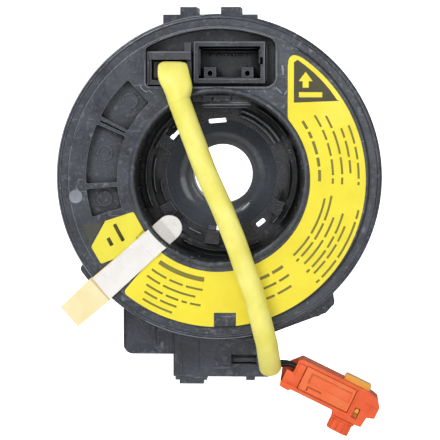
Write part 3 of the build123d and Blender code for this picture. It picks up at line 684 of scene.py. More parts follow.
def ring_mesh(name: str, rings: Sequence[Sequence[Vector]]) -> bpy.types.Mesh:
    """Skin a row of closed rings of points, with both ends filled.

    Args:
        name: Mesh name.
        rings: Rings with equal counts of points, in metres.

    Returns:
        The smooth mesh.
    """
    work = bmesh.new()
    rows = [[work.verts.new(point) for point in ring] for ring in rings]
    count = len(rows[0])
    for near, far in zip(rows, rows[1:]):
        for i in range(count):
            j = (i + 1) % count
            work.faces.new((near[i], near[j], far[j], far[i]))
    work.faces.new(list(reversed(rows[0])))
    work.faces.new(rows[-1])
    bmesh.ops.recalc_face_normals(work, faces=work.faces)
    return kept_mesh(work, name, 50)


def plate_work(outlines: Sequence[Sequence[Point]], depth: Span) -> bmesh.types.BMesh:
    """Give flat outlines thickness.

    Args:
        outlines: Outlines in X and Z, in millimetres.
        depth: Front and back depth in millimetres.

    Returns:
        The work mesh.
    """
    work = bmesh.new()
    for outline in outlines:
        front = [work.verts.new((x * MM, depth[0] * MM, z * MM)) for x, z in outline]
        back = [work.verts.new((x * MM, depth[1] * MM, z * MM)) for x, z in outline]
        work.faces.new(front)
        work.faces.new(list(reversed(back)))
        for i in range(len(outline)):
            j = (i + 1) % len(outline)
            work.faces.new((front[i], back[i], back[j], front[j]))
    bmesh.ops.recalc_face_normals(work, faces=work.faces)
    return work


def bevelled(work: bmesh.types.BMesh, name: str, edge: float) -> bpy.types.Mesh:
    """Round the sharp edges of a work mesh and keep it.

    Args:
        work: The work mesh, freed here.
        name: Mesh name.
        edge: Width of the rounding in millimetres.

    Returns:
        The mesh.
    """
    bmesh.ops.recalc_face_normals(work, faces=work.faces)
    sharp = [e for e in work.edges if len(e.link_faces) == 2 and e.calc_face_angle(0.0) > 0.7]
    bmesh.ops.bevel(work, geom=sharp, offset=edge * MM, segments=2, profile=0.5, affect="EDGES")
    return kept_mesh(work, name, 60)


# ------------------------------------------------------------------ outlines
def arc_bar(radius: float, start: float, end: float, width: float) -> list[Point]:
    """Outline of a bar that follows a circle round the steering axis.

    Args:
        radius: Its middle radius in millimetres.
        start: First angle in degrees.
        end: Last angle in degrees.
        width: Its width across the circle.

    Returns:
        Points in X and Z.
    """
    steps = max(2, round(abs(end - start) / 2))
    angles = [math.radians(start + (end - start) * i / steps) for i in range(steps + 1)]
    outer, inner = radius + width / 2, radius - width / 2
    points = [(outer * math.cos(a), outer * math.sin(a)) for a in angles]
    return points + [(inner * math.cos(a), inner * math.sin(a)) for a in reversed(angles)]


def bend(
    x: float, z: float, radius: float, start: float, end: float, width: float
) -> list[Point]:
    """Outline of a thin arc round a middle.

    Args:
        x: X of its middle in millimetres.
        z: Z of its middle.
        radius: Its radius.
        start: First angle in degrees.
        end: Last angle in degrees.
        width: Its width.

    Returns:
        Points in X and Z.
    """
    turns = [math.radians(start + (end - start) * i / 10) for i in range(11)]
    near, far = radius - width / 2, radius + width / 2
    outline = [(x + near * math.cos(a), z + near * math.sin(a)) for a in turns]
    return outline + [(x + far * math.cos(a), z + far * math.sin(a)) for a in reversed(turns)]


def circle(x: float, z: float, radius: float) -> list[Point]:
    """Outline of a circle in X and Z."""
    turns = [2 * math.pi * i / 28 for i in range(28)]
    return [(x + radius * math.cos(a), z + radius * math.sin(a)) for a in turns]


def soft_corner(start: Point, tip: Point, end: Point) -> list[Point]:
    """Points of a rounded corner.

    Args:
        start: Where it leaves one edge.
        tip: Where the edges would meet.
        end: Where it joins the other edge.

    Returns:
        Points from start to end.
    """
    points = []
    for i in range(9):
        t = i / 8
        a, b, c = (1 - t) ** 2, 2 * t * (1 - t), t * t
        points.append(tuple(a * start[k] + b * tip[k] + c * end[k] for k in (0, 1)))
    return points


# ------------------------------------------------------------------ pieces from outlines
@dataclass(frozen=True)
class Block:
    """A small block with rounded edges.

    Attributes:
        x: First and last X in millimetres.
        y: Front and back depth.
        z: First and last Z.
        turn: Turn round Y through its middle, in degrees.
    """

    x: Span
    y: Span
    z: Span
    turn: float = 0.0

    def place(self) -> Matrix:
        """Place the block.

        Returns:
            Matrix that turns a unit cube into it, in metres.
        """
        spans = (self.x, self.y, self.z)
        middle = Vector([(low + high) / 2 * MM for low, high in spans])
        size = [(high - low) * MM for low, high in spans]
        turned = Matrix.Translation(middle) @ Matrix.Rotation(-math.radians(self.turn), 4, "Y")
        return turned @ Matrix.Diagonal((*size, 1.0))


@dataclass(frozen=True)
class Blocks:
    """One piece that is made of small blocks.

    Attributes:
        name: Piece name.
        blocks: Its blocks.
        finish: Key of its finish.
        slot: Material slot of the record.
        edge: Width of the edge rounding in millimetres.
        body: Body that carries it.
    """

    name: str
    blocks: Sequence[Block]
    finish: str
    slot: str = "black_shell"
    edge: float = 0.12
    body: Body = Body.ROTOR

    def build(self, studio: Studio) -> None:
        """Make the piece.

        Args:
            studio: Takes the piece.
        """
        work = bmesh.new()
        for block in self.blocks:
            bmesh.ops.create_cube(work, size=1.0, matrix=block.place())
        mesh = bevelled(work, self.name, self.edge)
        studio.piece(self.name, mesh, self.body, self.finish, self.slot)


@dataclass(frozen=True)
class Plates:
    """One piece on the rotor that is made of flat outlines.

    Attributes:
        name: Piece name.
        outlines: Outlines in X and Z, in millimetres.
        depth: Front and back depth.
        finish: Key of its finish.
        slot: Material slot of the record.
        edge: Width of the edge rounding, or 0 for sharp edges.
        replaces: CAD node that it stands for, if it does.
    """

    name: str
    outlines: Sequence[Sequence[Point]]
    depth: Span
    finish: str
    slot: str = "black_shell"
    edge: float = 0.0
    replaces: str | None = None

    def build(self, studio: Studio) -> None:
        """Make the piece.

        Args:
            studio: Takes the piece.
        """
        work = plate_work(self.outlines, self.depth)
        mesh = bevelled(work, self.name, self.edge) if self.edge else kept_mesh(work, self.name)
        piece = studio.piece(self.name, mesh, Body.ROTOR, self.finish, self.slot)
        if self.replaces:
            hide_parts(self.replaces)


@dataclass(frozen=True)
class Hoops:
    """One piece on the rotor that is made of thin round hoops on a face.

    Attributes:
        name: Piece name.
        places: Middles in X and Z, in millimetres.
        radius: Their radius.
        face: Depth of the face.
        thick: Thickness of the hoops' line.
        finish: Key of its finish.
        slot: Material slot of the record.
        around: Points round a hoop.
        across: Points round its line.
    """

    name: str
    places: Sequence[Point]
    radius: float
    face: float
    thick: float
    finish: str
    slot: str = "black_shell"
    around: int = 32
    across: int = 8

    def row(self, x: float, z: float, turn: float) -> list[Vector]:
        """Points round the line of one hoop.

        Args:
            x: X of the hoop's middle in millimetres.
            z: Z of the hoop's middle.
            turn: Angle on the hoop in radians.

        Returns:
            The points in metres.
        """
        points = []
        for k in range(self.across):
            angle = 2 * math.pi * k / self.across
            reach = self.radius + self.thick / 2 * math.cos(angle)
            depth = self.face - self.thick / 2 * math.sin(angle)
            place = (x + reach * math.cos(turn), depth, z + reach * math.sin(turn))
            points.append(Vector([c * MM for c in place]))
        return points

    def build(self, studio: Studio) -> None:
        """Make the piece.

        Args:
            studio: Takes the piece.
        """
        work = bmesh.new()
        for x, z in self.places:
            turns = [2 * math.pi * i / self.around for i in range(self.around)]
            rows = [[work.verts.new(point) for point in self.row(x, z, turn)] for turn in turns]
            for near, far in zip(rows, rows[1:] + rows[:1]):
                for k in range(self.across):
                    j = (k + 1) % self.across
                    work.faces.new((near[k], near[j], far[j], far[k]))
        bmesh.ops.recalc_face_normals(work, faces=work.faces)
        mesh = kept_mesh(work, self.name, 80)
        studio.piece(self.name, mesh, Body.ROTOR, self.finish, self.slot)


class Detail:
    """A sub-assembly that is a list of small pieces."""

    def pieces(self) -> list[Blocks | Plates | Hoops]:
        """The pieces, in the order in which they are made."""
        raise NotImplementedError

    def build(self, studio: Studio) -> None:
        """Make every piece.

        Args:
            studio: Takes the pieces.
        """
        for piece in self.pieces():
            piece.build(studio)


# ------------------------------------------------------------------ cords
@dataclass(frozen=True)
class Route:
    """A cord's centre line, as control points in millimetres.

    Attributes:
        node: CAD node that it replaces.
        points: Control points.
        diameter: Diameter in millimetres.
        length: Real length in millimetres.
        stiffness: How stiff it is.
        far_end: What is on its far end.
        finish: Key of its finish.
        slot: Material slot of the record.
    """

    node: str
    points: tuple[tuple[float, float, float], ...]
    diameter: float
    length: float
    stiffness: str
    far_end: str
    finish: str
    slot: str

    def line(self) -> list[Vector]:
        """Follow the smooth spline through the route.

        Returns:
            Points along it, in metres.
        """
        curve = bpy.data.curves.new(self.node + "_line", "CURVE")
        curve.dimensions = "3D"
        spline = curve.splines.new("NURBS")
        spline.points.add(len(self.points) - 1)
        for control, point in zip(spline.points, self.points):
            control.co = (*(c * MM for c in point), 1.0)
        spline.order_u = 3
        spline.use_endpoint_u = True
        spline.resolution_u = 24
        holder = new_object(self.node + "_line", curve)
        bpy.context.view_layer.update()
        graph = bpy.context.evaluated_depsgraph_get()
        flat = bpy.data.meshes.new_from_object(holder.evaluated_get(graph))
        line = [vertex.co.copy() for vertex in flat.vertices]
        bpy.data.objects.remove(holder)
        bpy.data.curves.remove(curve)
        bpy.data.meshes.remove(flat)
        return line

    def declare(
        self, piece: bpy.types.Object, line: list[Vector], on_it: list[bpy.types.Object]
    ) -> None:
        """Hide the CAD node that the cord stands for.

        Args:
            piece: Its mesh tube; not used.
            line: The points that the tube follows.
            on_it: Pieces that it carries; not used.
        """
        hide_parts(self.node)
        tuple(c * MM for c in self.points[0])
        [tuple(point) for point in line]


def frames(line: list[Vector], side: Vector) -> list[tuple[Vector, Vector]]:
    """Two directions across a line at each of its points, without twist.

    Args:
        line: Points of the line.
        side: Direction to start from.

    Returns:
        A pair of unit vectors for each point.
    """
    found = []
    for i in range(len(line)):
        along = (line[min(i + 1, len(line) - 1)] - line[max(i - 1, 0)]).normalized()
        side = (side - along * side.dot(along)).normalized()
        found.append((side, along.cross(side)))
    return found


def round_ring(
    centre: Vector, axes: tuple[Vector, Vector], reach: Callable[[float], float], count: int
) -> list[Vector]:
    """A ring of points round a centre.

    Args:
        centre: Its centre.
        axes: Two directions across the line.
        reach: Function from the angle to the radius in millimetres.
        count: How many points.

    Returns:
        The points.
    """
    ring = []
    for i in range(count):
        angle = 2 * math.pi * i / count
        radius = reach(angle)
        offset = axes[0] * math.cos(angle) * radius + axes[1] * math.sin(angle) * radius
        ring.append(centre + offset * MM)
    return ring


SLEEVE = Route(
    "lead_sleeve",
    (
        (-12.3, -39.5, 24.8),
        (-7.6, -40.5, 11.9),
        (-2.4, -41.3, -1.0),
        (3.6, -41.7, -14.2),
        (8.2, -41.7, -26.8),
        (11.8, -41.5, -37.6),
        (14.0, -40.9, -45.0),
        (15.5, -39.1, -51.8),
        (16.4, -35.4, -57.8),
        (16.8, -30.3, -62.3),
    ),
    7.3,
    95.0,
    "medium",
    "bare",
    "sleeve",
    "yellow_sleeve",
)
WIRES = (
    Route(
        "lead_wire_a",
        (
            (16.3, -33.2, -58.0),
            (16.6, -29.4, -61.2),
            (18.0, -25.8, -61.6),
            (21.4, -24.4, -61.0),
            (25.4, -24.8, -62.5),
            (29.6, -25.6, -65.2),
            (34.0, -25.9, -66.9),
            (37.6, -25.9, -68.9),
        ),
        1.4,
        30.0,
        "limp",
        "connector",
        "wire",
        "wire_insulation",
    ),
    Route(
        "lead_wire_b",
        (
            (17.9, -33.6, -58.3),
            (18.2, -29.8, -61.6),
            (19.7, -26.9, -62.2),
            (22.9, -26.0, -61.7),
            (26.2, -26.5, -63.0),
            (30.2, -27.3, -65.7),
            (34.4, -27.7, -67.5),
            (37.9, -27.7, -69.4),
        ),
        1.4,
        30.0,
        "limp",
        "connector",
        "wire",
        "wire_insulation",
    ),
)


@dataclass(frozen=True)
class SoftSleeve:
    """The yellow sleeve: a slightly creased soft tube with an open, thick-walled end.

    Attributes:
        route: Its route.
        wall: Thickness of its wall in millimetres.
        sides: Points round it.
        mouth_rows: Rings down the inside of the open end.
        crease: Height of its creases, as a share of the radius.
        dent: Depth of its dent, as a share of the radius.
        dent_at: Where the dent is, as a share of the length.
        dent_reach: Length of the dent, as a share of the length.
    """

    route: Route = SLEEVE
    wall: float = 0.8
    sides: int = 48
    mouth_rows: int = 9
    crease: float = 0.035
    dent: float = 0.05
    dent_at: float = 0.72
    dent_reach: float = 0.06

    def radius(self, share: float, angle: float) -> float:
        """Radius of the creased tube.

        Args:
            share: Share of the length.
            angle: Angle round the tube in radians.

        Returns:
            The radius in millimetres.
        """
        ends = math.sin(math.pi * min(1.0, share * 1.02)) ** 0.5 if 0 < share < 0.98 else 0.0
        crease = self.crease * math.sin(3 * angle + 9 * share) * math.sin(31 * share + 2 * angle)
        near = math.exp(-(((share - self.dent_at) / self.dent_reach) ** 2))
        dent = self.dent * near * math.cos(angle - 0.6)
        return self.route.diameter / 2 * (1 + ends * (crease - self.crease - dent))

    def build(self, studio: Studio) -> None:
        """Make the tube and hide the CAD node that it stands for.

        Args:
            studio: Takes the piece.
        """
        line = self.route.line()
        axes = frames(line, Vector((1, 0, 0)))
        rings = []
        for i, (centre, pair) in enumerate(zip(line, axes)):
            reach = partial(self.radius, i / (len(line) - 1))
            rings.append(round_ring(centre, pair, reach, self.sides))
        inner = self.route.diameter / 2 - self.wall
        for depth in range(self.mouth_rows):
            k = len(line) - 1 - depth * 3
            rings.append(round_ring(line[k], axes[k], lambda _: inner, self.sides))
        mesh = ring_mesh("sleeve_tube", rings)
        piece = studio.piece(
            "sleeve_tube", mesh, Body.ROTOR, self.route.finish, self.route.slot
        )
        self.route.declare(piece, line, [])


@dataclass(frozen=True)
class Section:
    """A section of the sleeve's top.

    Attributes:
        x: X of its middle in millimetres.
        y: Its depth.
        z: Z of its middle.
        pitch: Slope of the sleeve there, in degrees below the wheel side.
        width: Its width.
        thick: Its thickness.
        square: Power that rounds it off, from a box at 0 to an ellipse at 1.
    """

    x: float
    y: float
    z: float
    pitch: float
    width: float
    thick: float
    square: float

    def between(self, before: Section, after: Section, beyond: Section, share: float) -> Section:
        """Section on the smooth line to the next one.

        Args:
            before: The section before this one.
            after: The section after it.
            beyond: The one after that.
            share: Share of the way to the next section.

        Returns:
            The mixed section.
        """
        mixed = []
        for a, b, c, d in zip(astuple(before), astuple(self), astuple(after), astuple(beyond)):
            slope, curve = c - a, 2 * a - 5 * b + 4 * c - d
            twist = 3 * b - a - 3 * c + d
            mixed.append(0.5 * (2 * b + slope * share + curve * share**2 + twist * share**3))
        return Section(*mixed)

    def ring(self, down: float, way: Vector, sides: int) -> list[Vector]:
        """Points round the section.

        Args:
            down: How far down the top it lies, from 0 to 1.
            way: Direction of the sleeve there.
            sides: How many points.

        Returns:
            Points in metres.
        """
        side = Vector((1, 0, 0))
        side = (side - way * side.dot(way)).normalized()
        up = way.cross(side)
        ring = []
        for i in range(sides):
            angle = 2 * math.pi * i / sides
            c, s = math.cos(angle), math.sin(angle)
            across = math.copysign(abs(c) ** self.square, c) * self.width / 2
            rise = math.copysign(abs(s) ** self.square, s) * self.thick / 2
            fold = math.sin(down * 5) * math.cos(5 * angle + 4 * down)
            pleat = 1 - 0.035 * (1 - down) * (1 + fold)
            middle = Vector((self.x, self.y, self.z))
            ring.append((middle + side * across * pleat + up * rise * pleat) * MM)
        return ring


@dataclass(frozen=True)
class SleeveTop:
    """The flattened, pleated top of the sleeve, where it turns down out of its socket.

    Attributes:
        sections: Its sections, from the socket on.
        sides: Points round it.
        steps: Rings from one section to the next.
    """

    sections: tuple[Section, ...] = (
        Section(-15.1, -33.05, 34.9, 0.0, 8.6, 5.6, 0.35),
        Section(-14.6, -36.4, 34.7, 22.0, 9.7, 5.2, 0.4),
        Section(-14.0, -38.9, 32.2, 58.0, 10.4, 4.4, 0.6),
        Section(-12.6, -39.5, 28.6, 76.0, 9.2, 5.6, 0.95),
    )
    sides: int = 48
    steps: int = 8

    def build(self, studio: Studio) -> None:
        """Make the top, which ends in the sleeve's own section.

        Args:
            studio: Takes the piece.
        """
        start, after = (Vector(point) for point in SLEEVE.points[:2])
        along = (after - start).normalized()
        pitch, round_size = math.degrees(math.asin(-along.z)), SLEEVE.diameter
        rows = [*self.sections, Section(*start, pitch, round_size, round_size, 1.0)]
        rings = []
        for k in range(len(rows) - 1):
            before, here, after_it, beyond = (
                rows[max(0, min(len(rows) - 1, k + i))] for i in (-1, 0, 1, 2)
            )
            for step in range(self.steps):
                share = step / self.steps
                down = (k + share) / (len(rows) - 1)
                mixed = here.between(before, after_it, beyond, share)
                lean = math.radians(mixed.pitch)
                way = Vector((0.36 * down**2, -math.cos(lean), -math.sin(lean))).normalized()
                rings.append(mixed.ring(down, way, self.sides))
        rings.append(rows[-1].ring(1.0, along, self.sides))
        mesh = ring_mesh("sleeve_top", rings)
        piece = studio.piece("sleeve_top", mesh, Body.ROTOR, "sleeve", "yellow_sleeve")
        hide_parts("sleeve_flare")


@dataclass(frozen=True)
class PlugWires:
    """The two thin wires between the sleeve and the squib plug.

    Attributes:
        routes: Their routes.
        plug: CAD nodes that hang on them.
        sides: Points round a wire.
    """

    routes: tuple[Route, ...] = WIRES
    plug: tuple[str, ...] = ("squib_plug", "squib_contacts", "squib_plug_cover", "squib_lock")
    sides: int = 20

    def build(self, studio: Studio, nodes: dict[str, bpy.types.Object]) -> None:
        """Make the wires and hide the CAD nodes that they stand for.

        Args:
            studio: Takes the pieces.
            nodes: CAD nodes by name.
        """
        on_plug = [nodes[name] for name in self.plug]
        for route in self.routes:
            line = route.line()
            axes = frames(line, Vector((0, 0, 1)))
            radius = route.diameter / 2
            rings = [round_ring(c, a, lambda _: radius, self.sides) for c, a in zip(line, axes)]
            name = route.node.replace("lead_", "plug_")
            mesh = ring_mesh(name, rings)
            piece = studio.piece(name, mesh, Body.ROTOR, route.finish, route.slot)
            route.declare(piece, line, on_plug)


# ------------------------------------------------------------------ repeated contacts
def contact_mesh(side: float, length: float) -> bpy.types.Mesh:
    """One square contact with a tapered tip, which points to -Y.

    Args:
        side: Its width in metres.
        length: Its length in metres.

    Returns:
        The mesh.
    """
    half, tip = side / 2, side / 5
    rings = []
    corners = ((1, 1), (-1, 1), (-1, -1), (1, -1))
    for y, reach in ((0.0, half), (-0.75 * length, half), (-0.95 * length, tip), (-length, tip)):
        rings.append([Vector((i * reach, y, k * reach)) for i, k in corners])
    return ring_mesh("contact", rings)


def grid_nodes(contact: bpy.types.Object, material: bpy.types.Material) -> bpy.types.NodeTree:
    """Geometry nodes that repeat a contact over a grid of columns and rows.

    Args:
        contact: The contact to repeat.
        material: Its material.

    Returns:
        The node group, with the inputs Columns, Rows, Width and Height.
    """
    group = bpy.data.node_groups.new("contact_grid", "GeometryNodeTree")
    face = group.interface
    face.new_socket("Geometry", in_out="INPUT", socket_type="NodeSocketGeometry")
    for name in ("Columns", "Rows"):
        face.new_socket(name, in_out="INPUT", socket_type="NodeSocketInt")
    for name in ("Width", "Height"):
        face.new_socket(name, in_out="INPUT", socket_type="NodeSocketFloat")
    face.new_socket("Geometry", in_out="OUTPUT", socket_type="NodeSocketGeometry")
    node = group.nodes.new
    given, result = node("NodeGroupInput"), node("NodeGroupOutput")
    grid, info = node("GeometryNodeMeshGrid"), node("GeometryNodeObjectInfo")
    lay, turn = node("GeometryNodeInstanceOnPoints"), node("GeometryNodeTransform")
    real, paint = node("GeometryNodeRealizeInstances"), node("GeometryNodeSetMaterial")
    info.inputs["Object"].default_value = contact
    turn.inputs["Rotation"].default_value = (math.pi / 2, 0, 0)
    paint.inputs["Material"].default_value = material
    for start, end in (
        (given.outputs["Columns"], grid.inputs["Vertices X"]),
        (given.outputs["Rows"], grid.inputs["Vertices Y"]),
        (given.outputs["Width"], grid.inputs["Size X"]),
        (given.outputs["Height"], grid.inputs["Size Y"]),
        (grid.outputs["Mesh"], turn.inputs["Geometry"]),
        (turn.outputs["Geometry"], lay.inputs["Points"]),
        (info.outputs["Geometry"], lay.inputs["Instance"]),
        (lay.outputs["Instances"], real.inputs["Geometry"]),
        (real.outputs["Geometry"], paint.inputs["Geometry"]),
        (paint.outputs["Geometry"], result.inputs[0]),
    ):
        group.links.new(start, end)
    return group


@dataclass(frozen=True)
class ContactRow:
    """A grid of contacts that replaces a CAD node.

    Attributes:
        node: The CAD node.
        columns: Contacts along X.
        rows: Contacts along Z.
        body: Body that carries them.
        front: Whether they point to the wheel side.
        side: Width of a contact in millimetres.
    """

    node: str
    columns: int
    rows: int
    body: Body
    front: bool
    side: float = 0.64

    def build(self, studio: Studio) -> None:
        """Make the contacts in the node's box.

        Args:
            studio: Takes the piece.
        """
        low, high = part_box(self.node)
        side = self.side * MM
        mesh = contact_mesh(side, high.y - low.y)
        if not self.front:
            mesh.transform(Matrix.Rotation(math.pi, 4, "Z"))
        source = new_object("contact", mesh)
        carrier = new_object(self.node + "_grid", bpy.data.meshes.new("carrier"))
        modifier = carrier.modifiers.new("grid", "NODES")
        group = grid_nodes(source, studio.materials["tin"])
        modifier.node_group = group
        ids = {i.name: i.identifier for i in group.interface.items_tree if i.in_out == "INPUT"}
        modifier[ids["Columns"]] = self.columns
        modifier[ids["Rows"]] = self.rows
        modifier[ids["Width"]] = high.x - low.x - side
        modifier[ids["Height"]] = max(0.0, high.z - low.z - side)
        bpy.context.view_layer.update()
        graph = bpy.context.evaluated_depsgraph_get()
        made = bpy.data.meshes.new_from_object(carrier.evaluated_get(graph))
        y = high.y if self.front else low.y
        middle = Vector(((low.x + high.x) / 2, y, (low.z + high.z) / 2))
        made.transform(Matrix.Translation(middle))
        made.materials.clear()
        for spare in (carrier, source):
            bpy.data.objects.remove(spare)
        name = self.node.replace("pins", "contacts")
        piece = studio.piece(name, made, self.body, "tin", "contact_metal")
        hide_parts(self.node)


CONTACT_ROWS = (
    ContactRow("switch_pins", 6, 1, Body.ROTOR, True),
    ContactRow("harness_pins", 6, 2, Body.STATOR, False),
    ContactRow("airbag_pins", 3, 1, Body.STATOR, False),
)


# ------------------------------------------------------------------ moulded detail
@dataclass(frozen=True)
class FaceMarks(Detail):
    """Ejector marks, ticks and rim lines on the front of the disc.

    Attributes:
        mark: X, Z and radius of the bare round mark.
        rings: X, Z and radius of each ejector ring.
        ring_line: Thickness of a ring's line.
        tick_depth: Front and back depth of the ticks.
        rim_radius: Radius of the lit line on the rim.
        rim_spans: First and last angles of that line.
    """

    mark: tuple[float, float, float] = (-46.6, -6.3, 2.2)
    rings: tuple[tuple[float, float, float], ...] = (
        (-28.1, 36.2, 2.3),
        (-28.1, 36.2, 1.1),
        (-20.3, 22.6, 1.6),
        (-20.3, 22.6, 0.8),
        (-30.4, -3.7, 1.5),
    )
    ring_line: float = 0.24
    tick_depth: Span = (-34.3, -33.8)
    rim_radius: float = 48.95
    rim_spans: tuple[Span, ...] = ((62, 165), (168, 214), (228, 238))

    def pieces(self) -> list[Blocks | Plates | Hoops]:
        """Lay out the mark, the rings, the ticks and the rim line.

        Returns:
            The pieces, in the order in which they are made.
        """
        mark_depth = (DISC_FRONT - 0.03, DISC_FRONT + 0.05)
        rim_depth = (DISC_FRONT + 0.12, DISC_FRONT + 0.3)
        rings = [
            Hoops(f"ejector_ring_{i}", [(x, z)], radius, DISC_FRONT, self.ring_line, "disc")
            for i, (x, z, radius) in enumerate(self.rings)
        ]
        ticks = [
            Block((20.4, 21.2), self.tick_depth, (33.2, 36.4), 6),
            Block((19.3, 19.9), self.tick_depth, (26.8, 29.6), 45),
            Block((21.5, 22.1), self.tick_depth, (26.6, 28.4), -35),
        ]
        rim = [arc_bar(self.rim_radius, start, end, 0.2) for start, end in self.rim_spans]
        return [
            # painted highlight: the bare mark and the ticks are real marks drawn light where they
            # catch the light; the rim line is painted highlight only
            Plates("ejector_mark", [circle(*self.mark)], mark_depth, "shine"),
            *rings,
            Blocks("face_ticks", ticks, "shine"),
            Plates("rim_lines", rim, rim_depth, "shine", edge=0.05),
        ]


@dataclass(frozen=True)
class HubDetail(Detail):
    """Arc ribs, steps and round marks on the hub plate and the recess wall.

    Attributes:
        ribs: Radius, first and last angle and width of each arc rib.
        rib_height: Height of the ribs.
        slope_edges: Lit edges on the ribs at the upper right, as ribs are given.
        slope_rise: How far those edges stand in front of the hub's face.
        rib_edges: The other lit edges.
        marks: Middles of the round marks.
        ledge_radius: Radius of the ribs on the ledge.
        ledge_arcs: First and last angle and width of each of those.
        ledge_depth: Their front and back depth.
        wall_radius: Radius at which the upright ribs stand on the wall.
        wall_angles: Their angles.
        wall_depth: Their front and back depth.
    """

    ribs: tuple[tuple[float, float, float, float], ...] = (
        (22.6, 120, 136, 0.7),
        (23.7, 139, 158, 0.8),
        (21.3, 128, 140, 0.6),
        (22.4, 164, 196, 0.5),
        (20.4, 184, 206, 0.5),
        (22.6, 218, 236, 0.6),
        (20.6, 238, 252, 0.5),
        (22.6, -44, -28, 0.8),
        (20.6, -34, -14, 0.6),
        (22.8, -18, 12, 0.5),
        (18.1, -104, -95.6, 2.0),
    )
    rib_height: float = 3.4
    slope_edges: tuple[tuple[float, float, float, float], ...] = (
        (22.45, 31, 72, 0.3),
        (20.65, 31, 72, 0.25),
    )
    slope_rise: float = 5.08
    rib_edges: tuple[tuple[float, float, float, float], ...] = (
        (23.45, 140, 157, 0.3),
        (23.3, -43, -29, 0.3),
        (20.7, 239, 251, 0.3),
        (22.65, 219, 235, 0.25),
        (22.5, 166, 194, 0.2),
    )
    marks: tuple[Point, ...] = ((0.8, 19.3), (19.6, -7.6), (-19.8, -4.4), (9.6, -17.5))
    ledge_radius: float = 25.2
    ledge_arcs: tuple[tuple[float, float, float], ...] = (
        (-40, 22, 0.6),
        (30, 62, 0.5),
        (112, 205, 0.6),
        (238, 300, 0.6),
    )
    ledge_depth: Span = (-16.0, -13.95)
    wall_radius: float = 26.95
    wall_angles: tuple[float, ...] = (-22, -14, 8, 16, 160, 168, 176, 188, 204, 256, 286)
    wall_depth: Span = (-29.0, -15.0)

    def lit_edges(self) -> list[Plates]:
        """Lay out the lit edges on the arc ribs.

        Returns:
            One piece for each edge.
        """
        rises = [self.slope_rise] * len(self.slope_edges)
        rises += [self.rib_height + 0.08] * len(self.rib_edges)
        made = []
        for i, (arc, rise) in enumerate(zip(self.slope_edges + self.rib_edges, rises)):
            face = HUB_FACE - rise
            depth = (face - 0.05, face + 0.3)
            made.append(
                Plates(f"rib_edge_{i}", [arc_bar(*arc)], depth, "shine", "grey_shell", 0.04)
            )
        return made

    def pieces(self) -> list[Blocks | Plates | Hoops]:
        """Lay out the ribs, their lit edges, the marks and the ribs of ledge and wall.

        Returns:
            The pieces, in the order in which they are made.
        """
        ribs = [arc_bar(*arc) for arc in self.ribs]
        rib_depth = (HUB_FACE - self.rib_height, HUB_FACE + 0.05)
        ledge = [arc_bar(self.ledge_radius, *arc) for arc in self.ledge_arcs]
        wall = []
        for angle in self.wall_angles:
            turn = math.radians(angle)
            x, z = self.wall_radius * math.cos(turn), self.wall_radius * math.sin(turn)
            wall.append(Block((x - 0.35, x + 0.35), self.wall_depth, (z - 0.25, z + 0.25), angle))
        return [
            Plates("hub_ribs", ribs, rib_depth, "hub", "grey_shell", 0.12),
            *self.lit_edges(),
            Hoops("hub_marks", self.marks, 0.9, HUB_FACE, 0.2, "hub", "grey_shell"),
            Plates("ledge_ribs", ledge, self.ledge_depth, "hub", edge=0.12),
            Blocks("wall_ribs", wall, "disc"),
        ]


@dataclass(frozen=True)
class SocketDetail(Detail):
    """Ridges inside the switch socket and round the lead socket, and the ledge below.

    Attributes:
        floor: Depth at which the ridges inside the socket end.
        cavity: First and last X of the switch socket's inside.
        ledge: First and last X of the ledge's lip.
    """

    floor: float = -22.1
    cavity: Span = (-6.4, 13.5)
    ledge: Span = (-5.4, 10.4)

    def pieces(self) -> list[Blocks | Plates | Hoops]:
        """Lay out the ridges, the lip and the lit edges.

        Returns:
            The pieces, in the order in which they are made.
        """
        ridges = [
            Block(self.cavity, (-28.0, self.floor), (41.7, 42.1)),
            Block(self.cavity, (-26.5, self.floor), (40.7, 41.0)),
            Block((-6.45, -5.9), (-33.6, -24.0), (33.0, 41.6)),
            Block((13.0, 13.55), (-33.6, -24.0), (36.9, 41.6)),
            Block((-1.0, 7.5), (-33.4, self.floor), (32.0, 32.5)),
            Block((-22.9, -9.2), (-34.55, -34.25), (40.2, 40.6)),
            Block((-23.0, -22.4), (-34.6, -34.25), (30.5, 40.4)),
            Block((15.3, 15.8), (-33.2, -30.6), (31.2, 43.6)),
        ]
        edges = [
            Block(self.ledge, (-30.72, -30.4), (23.4, 23.66)),
            Block((-5.2, 9.4), (-31.65, -31.4), (26.35, 26.5)),
            Block((-23.1, -20.9), (-34.2, -33.95), (27.7, 27.95), -42),
            Block((-5.0, 9.3), (-27.2, -26.9), (22.62, 22.82)),
            Block((-8.3, 11.3), (-31.15, -30.9), (28.3, 28.5)),
        ]
        return [
            Blocks("socket_ridges", ridges, "socket"),
            Blocks("ledge_lip", [Block(self.ledge, (-30.6, -29.0), (23.5, 24.8))], "hub"),
            Blocks("ledge_edges", edges, "shine", edge=0.04),
        ]


